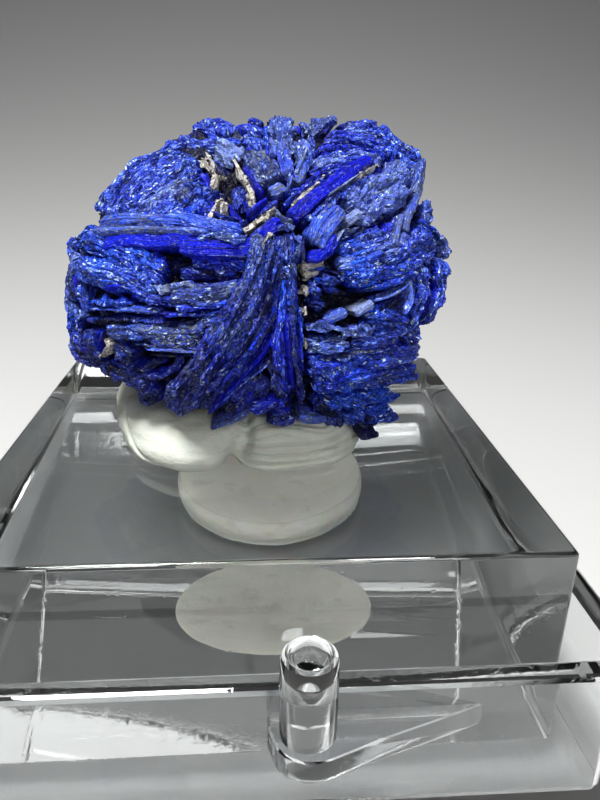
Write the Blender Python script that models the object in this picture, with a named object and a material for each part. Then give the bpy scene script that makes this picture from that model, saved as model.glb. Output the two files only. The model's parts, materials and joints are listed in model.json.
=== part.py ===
"""Azurite rosette pressed on mineral tack, on a clear block that a second tack pad holds in a clear box base.

Metres, +Z up, the front towards -Y. The origin is the centre of the box base's underside.
The rosette is a ball of thick blades that fan out from hearts on its surface. Each blade is one profile
carried along a curved rim, and all of them are joined with a core into one solid.
"""

import math

import bmesh
import bpy
import numpy as np

GAP = 0.0003

# Clear block, and the box base that it stands in.
BLOCK_SIDE = 0.0320
BLOCK_HEIGHT = 0.0117
BLOCK_BEVEL = 0.0003
BOX_OUTER = 0.0380
BOX_WALL = 0.00125
BOX_FLOOR = 0.0011
BOX_HEIGHT = 0.0094
BOX_CORNER = 0.0012
BLOCK_BEHIND_CENTRE = 0.0005  # the block is stuck down a little behind the middle of the box
PAD_SPACE = 0.0011  # between the floor and the block's underside
BLOCK_TOP = BOX_FLOOR + PAD_SPACE + BLOCK_HEIGHT

BOX_FOOT_CHAMFER = 0.00025

# Latch post on its ledge, outside the front wall.
POST_AT = (0.0021, -0.0201)
POST_RADIUS = 0.00130
POST_TOP = 0.01245
DIMPLE_RADIUS = 0.00088
DIMPLE_DEPTH = 0.0014
LEDGE_TOP = 0.0081
LEDGE_THICKNESS = 0.0013
# Plan of the ledge's free edge: round the post on the left, and drawn out into the wall on the right.
LEDGE_EDGE = [
    (0.0003, -0.0200), (0.0007, -0.0211), (0.0015, -0.0217), (0.0025, -0.0218), (0.0037, -0.0214),
    (0.0055, -0.0207), (0.0079, -0.0199), (0.0105, -0.0190),
]

# Round pad under the block.
PAD_CENTRE = (0.0011, 0.0032)
PAD_RADIUS = 0.0068

# Putty under the rosette, on the block's top: where its edge lies, round from the back left.
PUTTY_EDGE = [
    (-0.0100, 0.0052), (-0.0097, 0.0022), (-0.0085, -0.0010), (-0.0070, -0.0046), (-0.0047, -0.0069),
    (-0.0026, -0.0067), (-0.0006, -0.0066), (0.0016, -0.0071), (0.0040, -0.0062), (0.0060, -0.0044),
    (0.0069, -0.0014), (0.0070, 0.0020), (0.0052, 0.0052), (0.0015, 0.0072), (-0.0030, 0.0078),
    (-0.0072, 0.0072),
]
PUTTY_MIDDLE = (-0.0014, 0.0008)
PUTTY_HEIGHT = 0.0026
# How far in from the edge the putty's side is, and how high, each as a share of radius and height.
PUTTY_SIDE = [
    (0.965, 0.12), (1.0, 0.30), (0.985, 0.52), (0.93, 0.72), (0.80, 0.88), (0.55, 0.97), (0.28, 1.0),
]
PUTTY_STEPS = 26  # points round its edge

# The rosette's own frame: across, up and out of its face, in layout squares.
SQUARE = 0.00065
ROSETTE_AT = (0.00036, 0.00119, BLOCK_TOP + 0.01088)
FACE_TURN = math.radians(4.4)
FACE_TILT = math.radians(21.3)
FACE_ROLL = math.radians(-1.1)
SIGHT = np.array([4.0, -13.0, 67.5])  # places on the face are given as they line up from here
BALL_CENTRE = np.array([-0.4, -0.6, 0.0])
BALL_RADII = np.array([19.3, 16.4, 12.0])
BALL_POWER = 2.6  # 2 is an ellipsoid, more is fuller between the face and the sides
EDGE_OUT = 0.07  # how far the face's blades are drawn out at the ball's edge
CORE_SHARE = 0.80  # the core's size against the ball's
ROOT = np.array([0.0, -0.5, -6.0])  # the blades' walls run in towards here
BLADE_DEPTH = 5.0

# A blade's cross-section, from one wall's foot over the crown to the other: half width, depth below the crown.
ROUND = [(0.60, 1.00), (1.00, 0.24), (0.58, 0.00), (-0.58, 0.00), (-1.00, 0.24), (-0.60, 1.00)]
FLAT = [(0.65, 1.00), (1.00, 0.10), (0.84, 0.00), (-0.84, 0.00), (-1.00, 0.10), (-0.65, 1.00)]
SHARP = [(0.75, 1.00), (1.00, 0.22), (0.20, 0.00), (-1.00, 0.22), (-0.75, 1.00)]

# The face's blades, fan by fan: profile, rim width, lift off the ball, and the rim's line as (across, up).
FACE = [
    # upper left dome, its layers nested from the edge inwards, and the smooth band along its foot
    (ROUND, 3.0, 0.0, [(-16.0, 5.2), (-14.6, 8.4), (-12.4, 10.4), (-9.8, 11.9), (-7.2, 13.2)]),
    (ROUND, 3.4, 0.0, [(-14.8, 5.0), (-12.8, 7.6), (-10.0, 9.8), (-7.6, 11.3), (-5.8, 12.2)]),
    (ROUND, 3.6, 0.2, [(-13.0, 4.8), (-10.8, 7.0), (-8.2, 8.9), (-5.6, 10.6)]),
    (ROUND, 3.4, 0.3, [(-11.0, 4.8), (-8.4, 6.3), (-6.2, 8.0), (-5.3, 9.6)]),
    (ROUND, 2.8, 0.2, [(-8.2, 4.8), (-6.4, 5.8), (-5.2, 7.4)]),
    (FLAT, 2.6, 0.8, [(-16.4, 4.2), (-12.0, 4.3), (-7.0, 4.2), (-2.4, 3.6), (-0.6, 2.7)]),
    # clump at the top left, and the pale block and dark facets in the hollow below it
    (FLAT, 2.6, 0.2, [(-6.4, 14.5), (-4.4, 14.1), (-1.8, 13.2)]),
    (ROUND, 2.4, 0.0, [(-5.6, 12.8), (-4.0, 12.4), (-1.4, 12.0)]),
    (FLAT, 2.2, -0.6, [(-4.4, 11.6), (-3.2, 11.2), (-1.8, 10.6)]),
    (SHARP, 1.4, -1.6, [(-4.8, 10.6), (-4.2, 8.2), (-4.6, 5.4)]),
    (SHARP, 2.0, -2.2, [(-3.6, 10.0), (-2.8, 7.8), (-3.2, 5.2)]),
    (SHARP, 1.8, -2.0, [(-1.6, 9.0), (-1.4, 6.8), (-1.9, 4.7)]),
    (SHARP, 1.4, -1.2, [(-2.6, 4.4), (-3.0, 6.0), (-2.2, 7.6)]),
    # plates at the top: left neighbour, the block with a blunt head, and the rough diamond face
    (ROUND, 3.0, 0.0, [(-1.0, 14.4), (-0.5, 12.4), (0.2, 10.2)]),
    (FLAT, 2.1, 0.8, [(2.1, 15.5), (2.0, 13.4), (2.2, 10.6), (2.4, 8.0)]),
    (FLAT, 3.2, -0.3, [(0.4, 11.4), (0.6, 9.4), (1.0, 7.6)]),
    (SHARP, 1.0, 0.1, [(-1.6, 11.0), (-0.6, 9.0), (0.5, 7.0)]),
    # thin plates just left of the heart
    (SHARP, 1.4, 0.2, [(-2.2, 4.3), (-0.4, 6.0), (1.2, 7.2)]),
    (SHARP, 1.0, 0.5, [(-1.4, 3.5), (0.6, 4.8), (2.4, 5.9)]),
    (SHARP, 1.2, 0.8, [(0.2, 3.4), (1.4, 4.4), (2.8, 5.0)]),
    # top right, rough lumps and arched layers
    (ROUND, 2.2, 0.2, [(4.3, 13.4), (5.4, 14.6), (7.4, 14.9)]),
    (ROUND, 1.8, 0.1, [(6.8, 14.2), (9.2, 14.5), (11.6, 13.8), (13.8, 12.3), (15.2, 10.9)]),
    (ROUND, 1.9, 0.4, [(6.0, 12.0), (8.4, 13.1), (11.0, 13.0), (13.4, 11.7), (14.9, 10.2)]),
    (ROUND, 2.0, 0.4, [(5.2, 10.1), (7.4, 11.4), (9.8, 12.0), (12.5, 11.1)]),
    (FLAT, 2.2, 0.5, [(3.9, 12.2), (4.6, 10.4), (4.2, 8.4)]),
    (ROUND, 1.6, 0.2, [(2.6, 7.6), (4.4, 9.0), (6.6, 10.2)]),
    # long diagonal blades from the heart to the upper right, and the grey upright plates beyond them
    (SHARP, 1.4, 0.9, [(3.0, 6.1), (5.6, 7.8), (8.4, 9.6), (11.0, 11.3)]),
    (FLAT, 3.7, 0.9, [(4.6, 2.6), (6.6, 5.0), (9.4, 7.6), (12.6, 9.6), (15.7, 11.2)]),
    (FLAT, 2.4, -0.2, [(9.6, 5.4), (12.4, 6.9), (15.2, 8.2)]),
    (SHARP, 1.2, 0.2, [(15.7, 11.2), (15.6, 9.2), (15.4, 7.2)]),
    (SHARP, 0.9, -0.2, [(14.2, 7.6), (13.9, 5.2), (13.6, 3.2)]),
    (SHARP, 0.9, 0.1, [(15.2, 7.0), (14.9, 4.8), (14.6, 3.2)]),
    (ROUND, 1.6, 0.2, [(16.2, 8.2), (16.9, 6.2), (16.4, 4.4)]),
    # right upper rough mass, layers that fall towards the heart
    (ROUND, 2.0, 0.0, [(8.4, 3.2), (11.6, 3.4), (14.6, 4.0), (17.4, 4.4)]),
    (ROUND, 2.2, 0.6, [(7.4, 1.0), (10.4, 1.8), (13.8, 2.6), (17.9, 3.2)]),
    (ROUND, 2.2, 0.8, [(6.8, -0.6), (9.8, -0.2), (13.2, 0.8), (17.6, 1.6)]),
    (ROUND, 1.6, 0.4, [(9.4, -1.6), (12.4, -1.0), (15.4, 0.2), (18.4, -0.4)]),
    (ROUND, 2.0, 0.1, [(17.6, 3.4), (18.4, 1.4), (18.6, -1.4), (17.8, -3.4)]),
    # broken ends in the recess under the heart
    (FLAT, 1.6, -0.4, [(4.6, -0.2), (5.6, 0.4), (6.8, 0.8)]),
    (SHARP, 1.4, -0.8, [(4.6, -2.2), (6.2, -1.6), (7.6, -1.4)]),
    (SHARP, 1.4, -1.4, [(4.8, -3.8), (7.6, -3.2), (10.6, -2.2)]),
    (FLAT, 1.4, -0.9, [(9.4, 4.6), (10.8, 5.0), (12.6, 5.6)]),
    # right lower fan: flat layers stacked below the dark cave
    (SHARP, 1.0, -0.2, [(4.6, -4.8), (8.2, -4.4), (11.4, -3.2), (14.4, -2.0), (17.0, -1.4)]),
    (FLAT, 1.6, 0.0, [(4.5, -5.9), (8.0, -5.9), (11.6, -5.0), (14.8, -4.0), (17.4, -3.2)]),
    (FLAT, 1.4, 0.3, [(4.4, -7.6), (8.0, -7.4), (12.0, -6.8), (15.2, -5.8), (16.9, -5.2)]),
    (ROUND, 1.5, 0.0, [(4.4, -8.9), (7.6, -8.8), (11.6, -8.4), (15.4, -7.4)]),
    (ROUND, 2.0, 0.2, [(4.4, -10.2), (7.6, -10.2), (11.4, -10.0), (15.0, -9.4)]),
    (ROUND, 2.2, 0.2, [(4.6, -12.0), (7.6, -11.8), (11.0, -11.6), (13.9, -11.2)]),
    (ROUND, 2.4, 0.4, [(6.6, -13.8), (9.4, -13.6), (12.4, -13.0)]),
    (ROUND, 2.6, 0.9, [(8.2, -15.2), (10.4, -15.7), (12.6, -15.2)]),
    (ROUND, 2.0, 0.1, [(16.9, -5.0), (15.6, -7.6), (14.6, -9.6)]),
    # upright thin plates below the heart
    (SHARP, 0.9, 1.3, [(2.1, 0.8), (2.3, -4.8), (2.4, -9.4), (3.0, -12.8)]),
    (SHARP, 0.9, 1.4, [(2.9, 1.0), (3.0, -3.0), (3.1, -7.6), (3.6, -12.4)]),
    (SHARP, 0.8, 1.0, [(3.8, 0.2), (3.9, -4.4), (4.0, -8.4), (4.2, -12.0)]),
    # knob of blade ends at the heart, and the big diagonal bar with the thin plates beside it
    (ROUND, 2.4, 1.4, [(3.0, 4.2), (2.9, 2.0), (3.2, 0.2)]),
    (ROUND, 3.9, 1.6, [(1.2, 3.8), (0.4, 0.4), (-1.0, -3.6), (-3.4, -7.6), (-6.4, -11.5), (-8.9, -14.5)]),
    (SHARP, 1.3, 1.2, [(1.6, -3.2), (0.2, -6.2), (-2.6, -9.8), (-6.0, -14.0)]),
    (SHARP, 1.0, 0.6, [(1.9, -5.6), (-0.2, -8.8), (-2.6, -11.6), (-4.6, -13.8)]),
    (SHARP, 0.9, 0.0, [(1.9, -8.6), (0.4, -11.0), (-1.2, -13.2)]),
    # foot: a bright strip over low lumps
    (SHARP, 1.1, 0.9, [(-4.7, -15.3), (-2.0, -14.3), (0.4, -13.6), (2.4, -12.9)]),
    (ROUND, 2.0, 0.3, [(0.8, -14.8), (3.2, -14.6), (5.8, -14.9)]),
    (ROUND, 2.2, 0.0, [(6.2, -12.6), (6.8, -14.2), (8.0, -15.4)]),
    # left: the middle blades over a dark gap
    (FLAT, 1.1, 0.2, [(-14.0, 2.3), (-10.0, 2.4), (-5.0, 2.3), (-0.2, 2.1)]),
    (ROUND, 2.2, 0.2, [(-10.4, 0.6), (-7.0, 0.4), (-3.4, 0.2), (-0.8, 0.2)]),
    # left rough mass that comes to a point on the right
    (ROUND, 3.2, 0.2, [(-18.4, 2.6), (-15.2, 1.8), (-12.4, 0.4), (-10.4, -1.2)]),
    (ROUND, 3.4, 0.4, [(-18.6, -0.4), (-15.6, -1.0), (-12.8, -1.8), (-10.2, -2.6)]),
    (ROUND, 2.4, 0.0, [(-18.4, 1.2), (-18.9, -1.2), (-18.4, -3.4)]),
    # left lower blades, side by side, turned up at their right ends
    (ROUND, 2.4, 0.5, [(-9.8, -2.9), (-7.0, -3.2), (-4.2, -3.0), (-1.6, -2.4)]),
    (SHARP, 1.2, 0.4, [(-16.8, -3.3), (-13.0, -3.8), (-9.0, -4.4), (-5.0, -4.2), (-2.0, -3.3)]),
    (SHARP, 1.0, 0.0, [(-16.2, -4.5), (-12.0, -4.9), (-7.0, -5.1), (-2.8, -4.4)]),
    (ROUND, 2.0, 0.5, [(-15.2, -6.0), (-11.0, -6.8), (-7.2, -7.0), (-4.4, -5.8), (-3.2, -4.6)]),
    (ROUND, 1.4, 0.4, [(-11.6, -7.7), (-8.4, -8.2), (-5.8, -7.4)]),
    # lower left knobs, and the ragged foot below them
    (ROUND, 2.4, -0.2, [(-18.8, -6.6), (-17.6, -9.0), (-15.6, -10.2)]),
    (ROUND, 2.2, 0.0, [(-15.8, -10.4), (-13.6, -11.6), (-12.2, -12.9)]),
    (ROUND, 2.6, 0.0, [(-18.4, -3.8), (-18.4, -6.2), (-17.6, -8.2)]),
    (ROUND, 3.0, 0.4, [(-17.0, -6.2), (-16.4, -8.0), (-15.2, -9.4)]),
    (ROUND, 2.8, 0.6, [(-14.2, -7.8), (-13.2, -8.6), (-12.4, -9.2)]),
    (ROUND, 2.6, 0.2, [(-14.8, -10.0), (-12.8, -10.9), (-11.2, -11.2)]),
    (ROUND, 1.4, 0.6, [(-12.0, -10.6), (-10.0, -10.7), (-8.6, -9.4), (-9.2, -7.9)]),
    (ROUND, 2.6, 0.1, [(-12.4, -11.8), (-11.2, -12.6), (-9.6, -12.6)]),
]

# The sides and the back: fans of three blades side by side, spread evenly over the rest of the ball.
BACK_FANS = 16
BACK_LEVEL = 0.12  # fans whose middle is further forward than this are left to the face
BACK_SHARE = 0.95  # how much of the ball's radius they reach
FAN_BLADES = 3
FAN_STEP = 3.5
ARC_HALF = 0.52  # radians
SEED = 7

# Where along its rim a blade's profile stands, and how full it is there.
STUB = [(0.0, 0.58), (0.2, 1.0), (0.8, 1.0), (1.0, 0.58)]
SHORT_BLADE = [(0.0, 0.55), (0.14, 0.93), (0.5, 1.0), (0.86, 0.93), (1.0, 0.55)]
LONG_BLADE = [(0.0, 0.55), (0.10, 0.93), (0.37, 1.0), (0.63, 1.0), (0.90, 0.93), (1.0, 0.55)]


def clear_scene():
    for obj in list(bpy.data.objects):
        bpy.data.objects.remove(obj)


def material(name, colour, roughness, transmission=0.0, ior=1.5):
    made = bpy.data.materials.new(name)
    made.use_nodes = True
    shader = made.node_tree.nodes["Principled BSDF"]
    shader.inputs["Base Color"].default_value = (*colour, 1.0)
    shader.inputs["Roughness"].default_value = roughness
    shader.inputs["Metallic"].default_value = 0.0
    shader.inputs["Transmission Weight"].default_value = transmission
    shader.inputs["IOR"].default_value = ior
    made.diffuse_color = (*colour, 1.0)
    return made


def add(name, mesh, made=None):
    obj = bpy.data.objects.new(name, mesh)
    bpy.context.scene.collection.objects.link(obj)
    if made:
        mesh.materials.append(made)
    return obj


def mesh_of(name, points, faces):
    mesh = bpy.data.meshes.new(name)
    mesh.from_pydata([tuple(p) for p in points], [], [tuple(f) for f in faces])
    grown = bmesh.new()
    grown.from_mesh(mesh)
    bmesh.ops.recalc_face_normals(grown, faces=grown.faces)
    grown.to_mesh(mesh)
    grown.free()
    return mesh


def loft(rings):
    """Points and faces of a closed body: each ring is joined to the next, and the end rings are capped."""
    count = len(rings[0])
    faces = [tuple(range(count)), tuple(range((len(rings) - 1) * count, len(rings) * count))]
    for level in range(len(rings) - 1):
        for i in range(count):
            j = (i + 1) % count
            low, high = level * count, (level + 1) * count
            faces.append((low + i, low + j, high + j, high + i))
    return np.concatenate(rings), faces


def smooth_line(points, shares, closed=False):
    """A Catmull-Rom curve through the points, read at these shares of its length."""
    points = np.asarray(points, float)
    if closed:
        padded = np.vstack([points[-1], points, points[:2]])
    else:
        padded = np.vstack([2 * points[0] - points[1], points, 2 * points[-1] - points[-2]])
    spans = len(padded) - 3
    place = np.clip(np.asarray(shares, float) * spans, 0, spans - 1e-9)
    i = place.astype(int)
    t = (place - i)[:, None]
    a, b, c, d = padded[i], padded[i + 1], padded[i + 2], padded[i + 3]
    return 0.5 * (2 * b + (c - a) * t + (2 * a - 5 * b + 4 * c - d) * t**2 + (3 * b - a - 3 * c + d) * t**3)


def ring_at(outline, z, scale=1.0, middle=(0.0, 0.0)):
    flat = (np.asarray(outline) - middle) * scale + middle
    return np.column_stack([flat, np.full(len(flat), z)])


def rounded_square(side, corner, steps=5):
    """Outline of a square with round corners."""
    reach = side / 2 - corner
    points = []
    for quarter, (sx, sy) in enumerate([(1, 1), (-1, 1), (-1, -1), (1, -1)]):
        for step in range(steps):
            angle = (quarter + step / (steps - 1)) * math.pi / 2
            points.append((sx * reach + corner * math.cos(angle), sy * reach + corner * math.sin(angle)))
    return points


def circle(radius, count, centre=(0.0, 0.0)):
    turn = np.arange(count) * 2 * math.pi / count
    return np.column_stack([centre[0] + radius * np.cos(turn), centre[1] + radius * np.sin(turn)])


def apply_boolean(obj, other, operation, solver="EXACT"):
    cut = obj.modifiers.new(operation.lower(), "BOOLEAN")
    cut.operation = operation
    cut.solver = solver
    cut.object = other
    bake(obj)
    bpy.data.objects.remove(other)


def bake(obj):
    """Turns the object's modifiers into its mesh."""
    graph = bpy.context.evaluated_depsgraph_get()
    mesh = bpy.data.meshes.new_from_object(obj.evaluated_get(graph))
    obj.modifiers.clear()
    obj.data = mesh


# Rosette ------------------------------------------------------------------------------------------------


def out_of_sight(flat, out):
    """Face places (across, up) raised by out, each moved along its own line to SIGHT."""
    base = np.column_stack([flat, np.zeros(len(flat))])
    return base + (SIGHT - base) * (np.asarray(out) / SIGHT[2])[:, None]


def drawn_out(flat):
    """Face places, moved outwards more and more towards the ball's edge."""
    reach = np.minimum((((flat - BALL_CENTRE[:2]) / BALL_RADII[:2]) ** 2).sum(axis=1), 1.0)
    return BALL_CENTRE[:2] + (flat - BALL_CENTRE[:2]) * (1 + EDGE_OUT * reach**2)[:, None]


def ball_height(flat, lift):
    """How far the ball's surface stands out of the face's plane at these places."""
    reach = (((flat - BALL_CENTRE[:2]) / BALL_RADII[:2]) ** 2).sum(axis=1)
    return BALL_RADII[2] * np.clip(1 - reach ** (BALL_POWER / 2), 0.02, 1) ** (1 / BALL_POWER) + lift


def on_ball(ways):
    """Places on the ball's surface in these directions."""
    level = np.hypot(ways[:, 0], ways[:, 1])
    size = (level**BALL_POWER + np.abs(ways[:, 2]) ** BALL_POWER) ** (1 / BALL_POWER)
    return ways / size[:, None] * BALL_RADII


def blade_rings(rim, fullness, profile, width, root):
    """The blade's profile, set up at each rim point: across the rim, and in towards the root."""
    along = np.gradient(rim, axis=0)
    outward = rim - root
    outward /= np.linalg.norm(outward, axis=1)[:, None]
    across = np.cross(along, outward)
    across /= np.linalg.norm(across, axis=1)[:, None]
    rings = []
    for place, side, out, full in zip(rim, across, outward, fullness):
        crown = place - out * (1 - full) * width / 2
        rings.append(np.array([crown + side * x * full * width / 2 - out * y * BLADE_DEPTH for x, y in profile]))
    return rings


def face_blades():
    for profile, width, lift, line in FACE:
        shares, fullness = zip(*{3: STUB, 4: SHORT_BLADE}.get(len(line), LONG_BLADE))
        flat = drawn_out(smooth_line(line, shares))
        rim = out_of_sight(flat, ball_height(flat, lift))
        yield blade_rings(rim, fullness, profile, width, ROOT)


def back_blades():
    """Fans at evenly spread places on the ball, each turned by a seeded angle."""
    rng = np.random.default_rng(SEED)
    shares, fullness = zip(*STUB)
    golden = math.pi * (3 - math.sqrt(5))
    for i in range(2 * BACK_FANS):
        out = 1 - (2 * i + 1) / (2 * BACK_FANS)
        turn, lean, size = rng.uniform(0, math.pi), rng.uniform(-0.2, 0.2), rng.uniform(0.93, 1.0)
        if out > BACK_LEVEL:
            continue
        around = math.sqrt(1 - out * out)
        middle = np.array([around * math.cos(golden * i), around * math.sin(golden * i), out])
        first = np.cross(middle, (0.3, 0.2, 1.0))
        first /= np.linalg.norm(first)
        second = np.cross(middle, first)
        along = math.cos(turn) * first + math.sin(turn) * second
        across = np.cross(middle, along)
        arc = (np.array(shares) * 2 - 1) * ARC_HALF
        for k in range(FAN_BLADES):
            shift = (k - (FAN_BLADES - 1) / 2) * FAN_STEP / BALL_RADII.mean()
            start = middle + across * shift
            path = np.cos(arc)[:, None] * start + np.sin(arc + lean * arc * arc)[:, None] * along
            rim = BALL_CENTRE + on_ball(path) * BACK_SHARE * size * rng.uniform(0.96, 1.0)
            profile = (ROUND, SHARP)[int(rng.integers(2))]
            yield blade_rings(rim, fullness, profile, FAN_STEP * rng.uniform(0.9, 1.15), BALL_CENTRE)


def face_axes():
    """The rosette's across, up and out directions."""
    turn, tilt, roll = FACE_TURN, FACE_TILT, FACE_ROLL
    out = -np.array([math.sin(turn) * math.cos(tilt), math.cos(turn) * math.cos(tilt), -math.sin(tilt)])
    level = np.array([math.cos(turn), -math.sin(turn), 0.0])
    up = np.cross(out, level)
    return np.array([math.cos(roll) * level - math.sin(roll) * up, math.sin(roll) * level + math.cos(roll) * up, out])


def in_place(points):
    """From layout squares to metres in the object's frame."""
    return np.asarray(points) @ face_axes() * SQUARE + ROSETTE_AT


def core():
    grown = bmesh.new()
    bmesh.ops.create_icosphere(grown, subdivisions=3, radius=1.0)
    mesh = bpy.data.meshes.new("core")
    grown.to_mesh(mesh)
    grown.free()
    unit = np.array([v.co[:] for v in mesh.vertices])
    for vertex, place in zip(mesh.vertices, in_place(BALL_CENTRE + on_ball(unit) * CORE_SHARE)):
        vertex.co = place
    return mesh


def keep_outer_shell(mesh):
    """Leaves only the largest connected surface, so that no pocket stays sealed inside."""
    grown = bmesh.new()
    grown.from_mesh(mesh)
    left = set(grown.faces)
    shells = []
    while left:
        stack = [left.pop()]
        shell = set(stack)
        while stack:
            for edge in stack.pop().edges:
                fresh = [face for face in edge.link_faces if face in left]
                left.difference_update(fresh)
                shell.update(fresh)
                stack.extend(fresh)
        shells.append(shell)
    shells.sort(key=len)
    for shell in shells[:-1]:
        bmesh.ops.delete(grown, geom=list(shell), context="FACES")
    grown.to_mesh(mesh)
    grown.free()


def rosette():
    azurite = material("azurite", (0.02, 0.04, 0.45), 0.45)
    obj = add("azurite_rosette", core(), azurite)
    blades = bpy.data.collections.new("blades")
    for rings in [*face_blades(), *back_blades()]:
        points, faces = loft([in_place(ring) for ring in rings])
        blade = bpy.data.objects.new("blade", mesh_of("blade", points, faces))
        blades.objects.link(blade)
    join = obj.modifiers.new("join", "BOOLEAN")
    join.operation = "UNION"
    join.operand_type = "COLLECTION"
    join.collection = blades
    bake(obj)
    for blade in list(blades.objects):
        bpy.data.objects.remove(blade)
    bpy.data.collections.remove(blades)
    apply_boolean(obj, add("seat", putty_mesh(GAP)), "DIFFERENCE", solver="MANIFOLD")  # EXACT fails here
    keep_outer_shell(obj.data)


# Putty, pad, block and box --------------------------------------------------------------------------------


def putty_mesh(extra=0.0):
    """The putty's lump. With extra, it is that much larger all round, as the seat that the rosette keeps clear."""
    edge = smooth_line(PUTTY_EDGE, np.arange(PUTTY_STEPS) / PUTTY_STEPS, closed=True)
    middle = np.array(PUTTY_MIDDLE)
    grow = 1 + extra / np.linalg.norm(edge - middle, axis=1).mean()
    base = BLOCK_TOP + GAP - 3 * extra
    foot = PUTTY_SIDE[0][0]
    rings = [ring_at(edge, base, foot * grow, middle)]
    for share, height in PUTTY_SIDE:
        rings.append(ring_at(edge, BLOCK_TOP + GAP + extra + height * PUTTY_HEIGHT, share * grow, middle))
    points, faces = loft(rings)
    points[:, 1] += BLOCK_BEHIND_CENTRE
    return mesh_of("putty", points, faces)


def putty():
    obj = add("mineral_tack", putty_mesh(), material("white_putty", (0.80, 0.80, 0.74), 0.7))
    obj.data.shade_smooth()
    obj.data.set_sharp_from_angle(angle=math.radians(50))


def pad():
    """The flat round pad between the block and the box's floor, its edge bulged by the weight on it."""
    low = BOX_FLOOR + GAP
    high = BOX_FLOOR + PAD_SPACE - GAP
    levels = [(0.97, low), (1.0, low * 0.7 + high * 0.3), (1.0, low * 0.3 + high * 0.7), (0.97, high)]
    rings = [ring_at(circle(PAD_RADIUS * share, 36, PAD_CENTRE), z) for share, z in levels]
    points, faces = loft(rings)
    add("riser_tack", mesh_of("riser_tack", points, faces), material("yellowed_putty", (0.78, 0.77, 0.66), 0.75))


def block():
    acrylic = material("clear_acrylic", (0.95, 0.97, 0.97), 0.03, transmission=1.0, ior=1.49)
    grown = bmesh.new()
    bmesh.ops.create_cube(grown, size=1.0)
    bmesh.ops.scale(grown, vec=(BLOCK_SIDE, BLOCK_SIDE, BLOCK_HEIGHT), verts=grown.verts)
    bmesh.ops.translate(grown, vec=(0, BLOCK_BEHIND_CENTRE, BLOCK_TOP - BLOCK_HEIGHT / 2), verts=grown.verts)
    bmesh.ops.bevel(grown, geom=grown.edges[:], offset=BLOCK_BEVEL, segments=1, affect="EDGES")
    mesh = bpy.data.meshes.new("acrylic_block")
    grown.to_mesh(mesh)
    grown.free()
    add("acrylic_block", mesh, acrylic)


def box_base():
    """Open box with thin walls, the latch post and its ledge grown from the front wall."""
    inner = BOX_OUTER - 2 * BOX_WALL
    outer_line = rounded_square(BOX_OUTER, BOX_CORNER)
    foot_line = rounded_square(BOX_OUTER - 2 * BOX_FOOT_CHAMFER, BOX_CORNER)
    inner_line = rounded_square(inner, BOX_CORNER * 0.6)
    rings = [
        ring_at(foot_line, 0.0),
        ring_at(outer_line, BOX_FOOT_CHAMFER),
        ring_at(outer_line, BOX_HEIGHT),
        ring_at(inner_line, BOX_HEIGHT),
        ring_at(inner_line, BOX_FLOOR),
    ]
    points, faces = loft(rings)
    clear = material("clear_styrene", (0.93, 0.95, 0.96), 0.05, transmission=1.0, ior=1.59)
    obj = add("box_base", mesh_of("box_base", points, faces), clear)
    inside_wall = -BOX_OUTER / 2 + BOX_WALL / 2
    plan = [(LEDGE_EDGE[0][0], inside_wall), *LEDGE_EDGE, (LEDGE_EDGE[-1][0], inside_wall)]
    points, faces = loft([ring_at(plan, LEDGE_TOP - LEDGE_THICKNESS), ring_at(plan, LEDGE_TOP)])
    apply_boolean(obj, add("ledge", mesh_of("ledge", points, faces)), "UNION")
    low = LEDGE_TOP - LEDGE_THICKNESS / 2
    sides = [(POST_RADIUS, low), (POST_RADIUS, POST_TOP - 0.0005), (POST_RADIUS * 0.90, POST_TOP - 0.0001)]
    hollow = [(DIMPLE_RADIUS, POST_TOP), (DIMPLE_RADIUS * 0.85, POST_TOP - DIMPLE_DEPTH)]
    rings = [ring_at(circle(r, 24, POST_AT), z) for r, z in [*sides, *hollow]]
    points, faces = loft(rings)
    apply_boolean(obj, add("post", mesh_of("post", points, faces)), "UNION")


clear_scene()
rosette()
putty()
pad()
block()
box_base()
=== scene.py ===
"""Azurite rosette on white tack, on a clear block in a clear box base: fine surfaces and finishes.

Lengths are in metres, but the rosette is laid out in squares of SQUARE on its own face (across, up, out), and
in_place takes it from there into the object's frame. The front is -Y, +Z is up, and the box stands on z = 0.
"""

import json
import math

import bpy
import numpy as np
from mathutils import Matrix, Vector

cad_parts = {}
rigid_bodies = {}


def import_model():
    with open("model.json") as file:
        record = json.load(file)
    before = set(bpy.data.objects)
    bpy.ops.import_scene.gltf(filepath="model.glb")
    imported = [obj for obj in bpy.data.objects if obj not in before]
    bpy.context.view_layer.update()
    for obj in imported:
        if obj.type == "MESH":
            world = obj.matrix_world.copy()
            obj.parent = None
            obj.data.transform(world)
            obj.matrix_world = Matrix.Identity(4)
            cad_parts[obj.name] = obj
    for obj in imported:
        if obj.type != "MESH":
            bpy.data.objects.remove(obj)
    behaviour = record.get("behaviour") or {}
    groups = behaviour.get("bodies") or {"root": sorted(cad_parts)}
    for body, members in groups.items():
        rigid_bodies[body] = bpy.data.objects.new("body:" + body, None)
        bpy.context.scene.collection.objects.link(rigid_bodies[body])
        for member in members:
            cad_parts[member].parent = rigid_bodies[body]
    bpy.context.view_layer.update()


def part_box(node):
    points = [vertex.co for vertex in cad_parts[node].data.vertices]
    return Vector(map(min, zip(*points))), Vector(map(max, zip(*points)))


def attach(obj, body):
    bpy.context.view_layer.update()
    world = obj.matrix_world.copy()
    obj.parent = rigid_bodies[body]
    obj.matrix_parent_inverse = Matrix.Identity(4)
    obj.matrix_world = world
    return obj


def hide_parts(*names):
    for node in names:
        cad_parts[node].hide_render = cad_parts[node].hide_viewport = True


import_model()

FLOOR_GAP = 0.0001  # air between the box and the floor
TOUCH = 0.00002  # tack and acrylic that stick together share this much, so that no air lies between them

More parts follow.
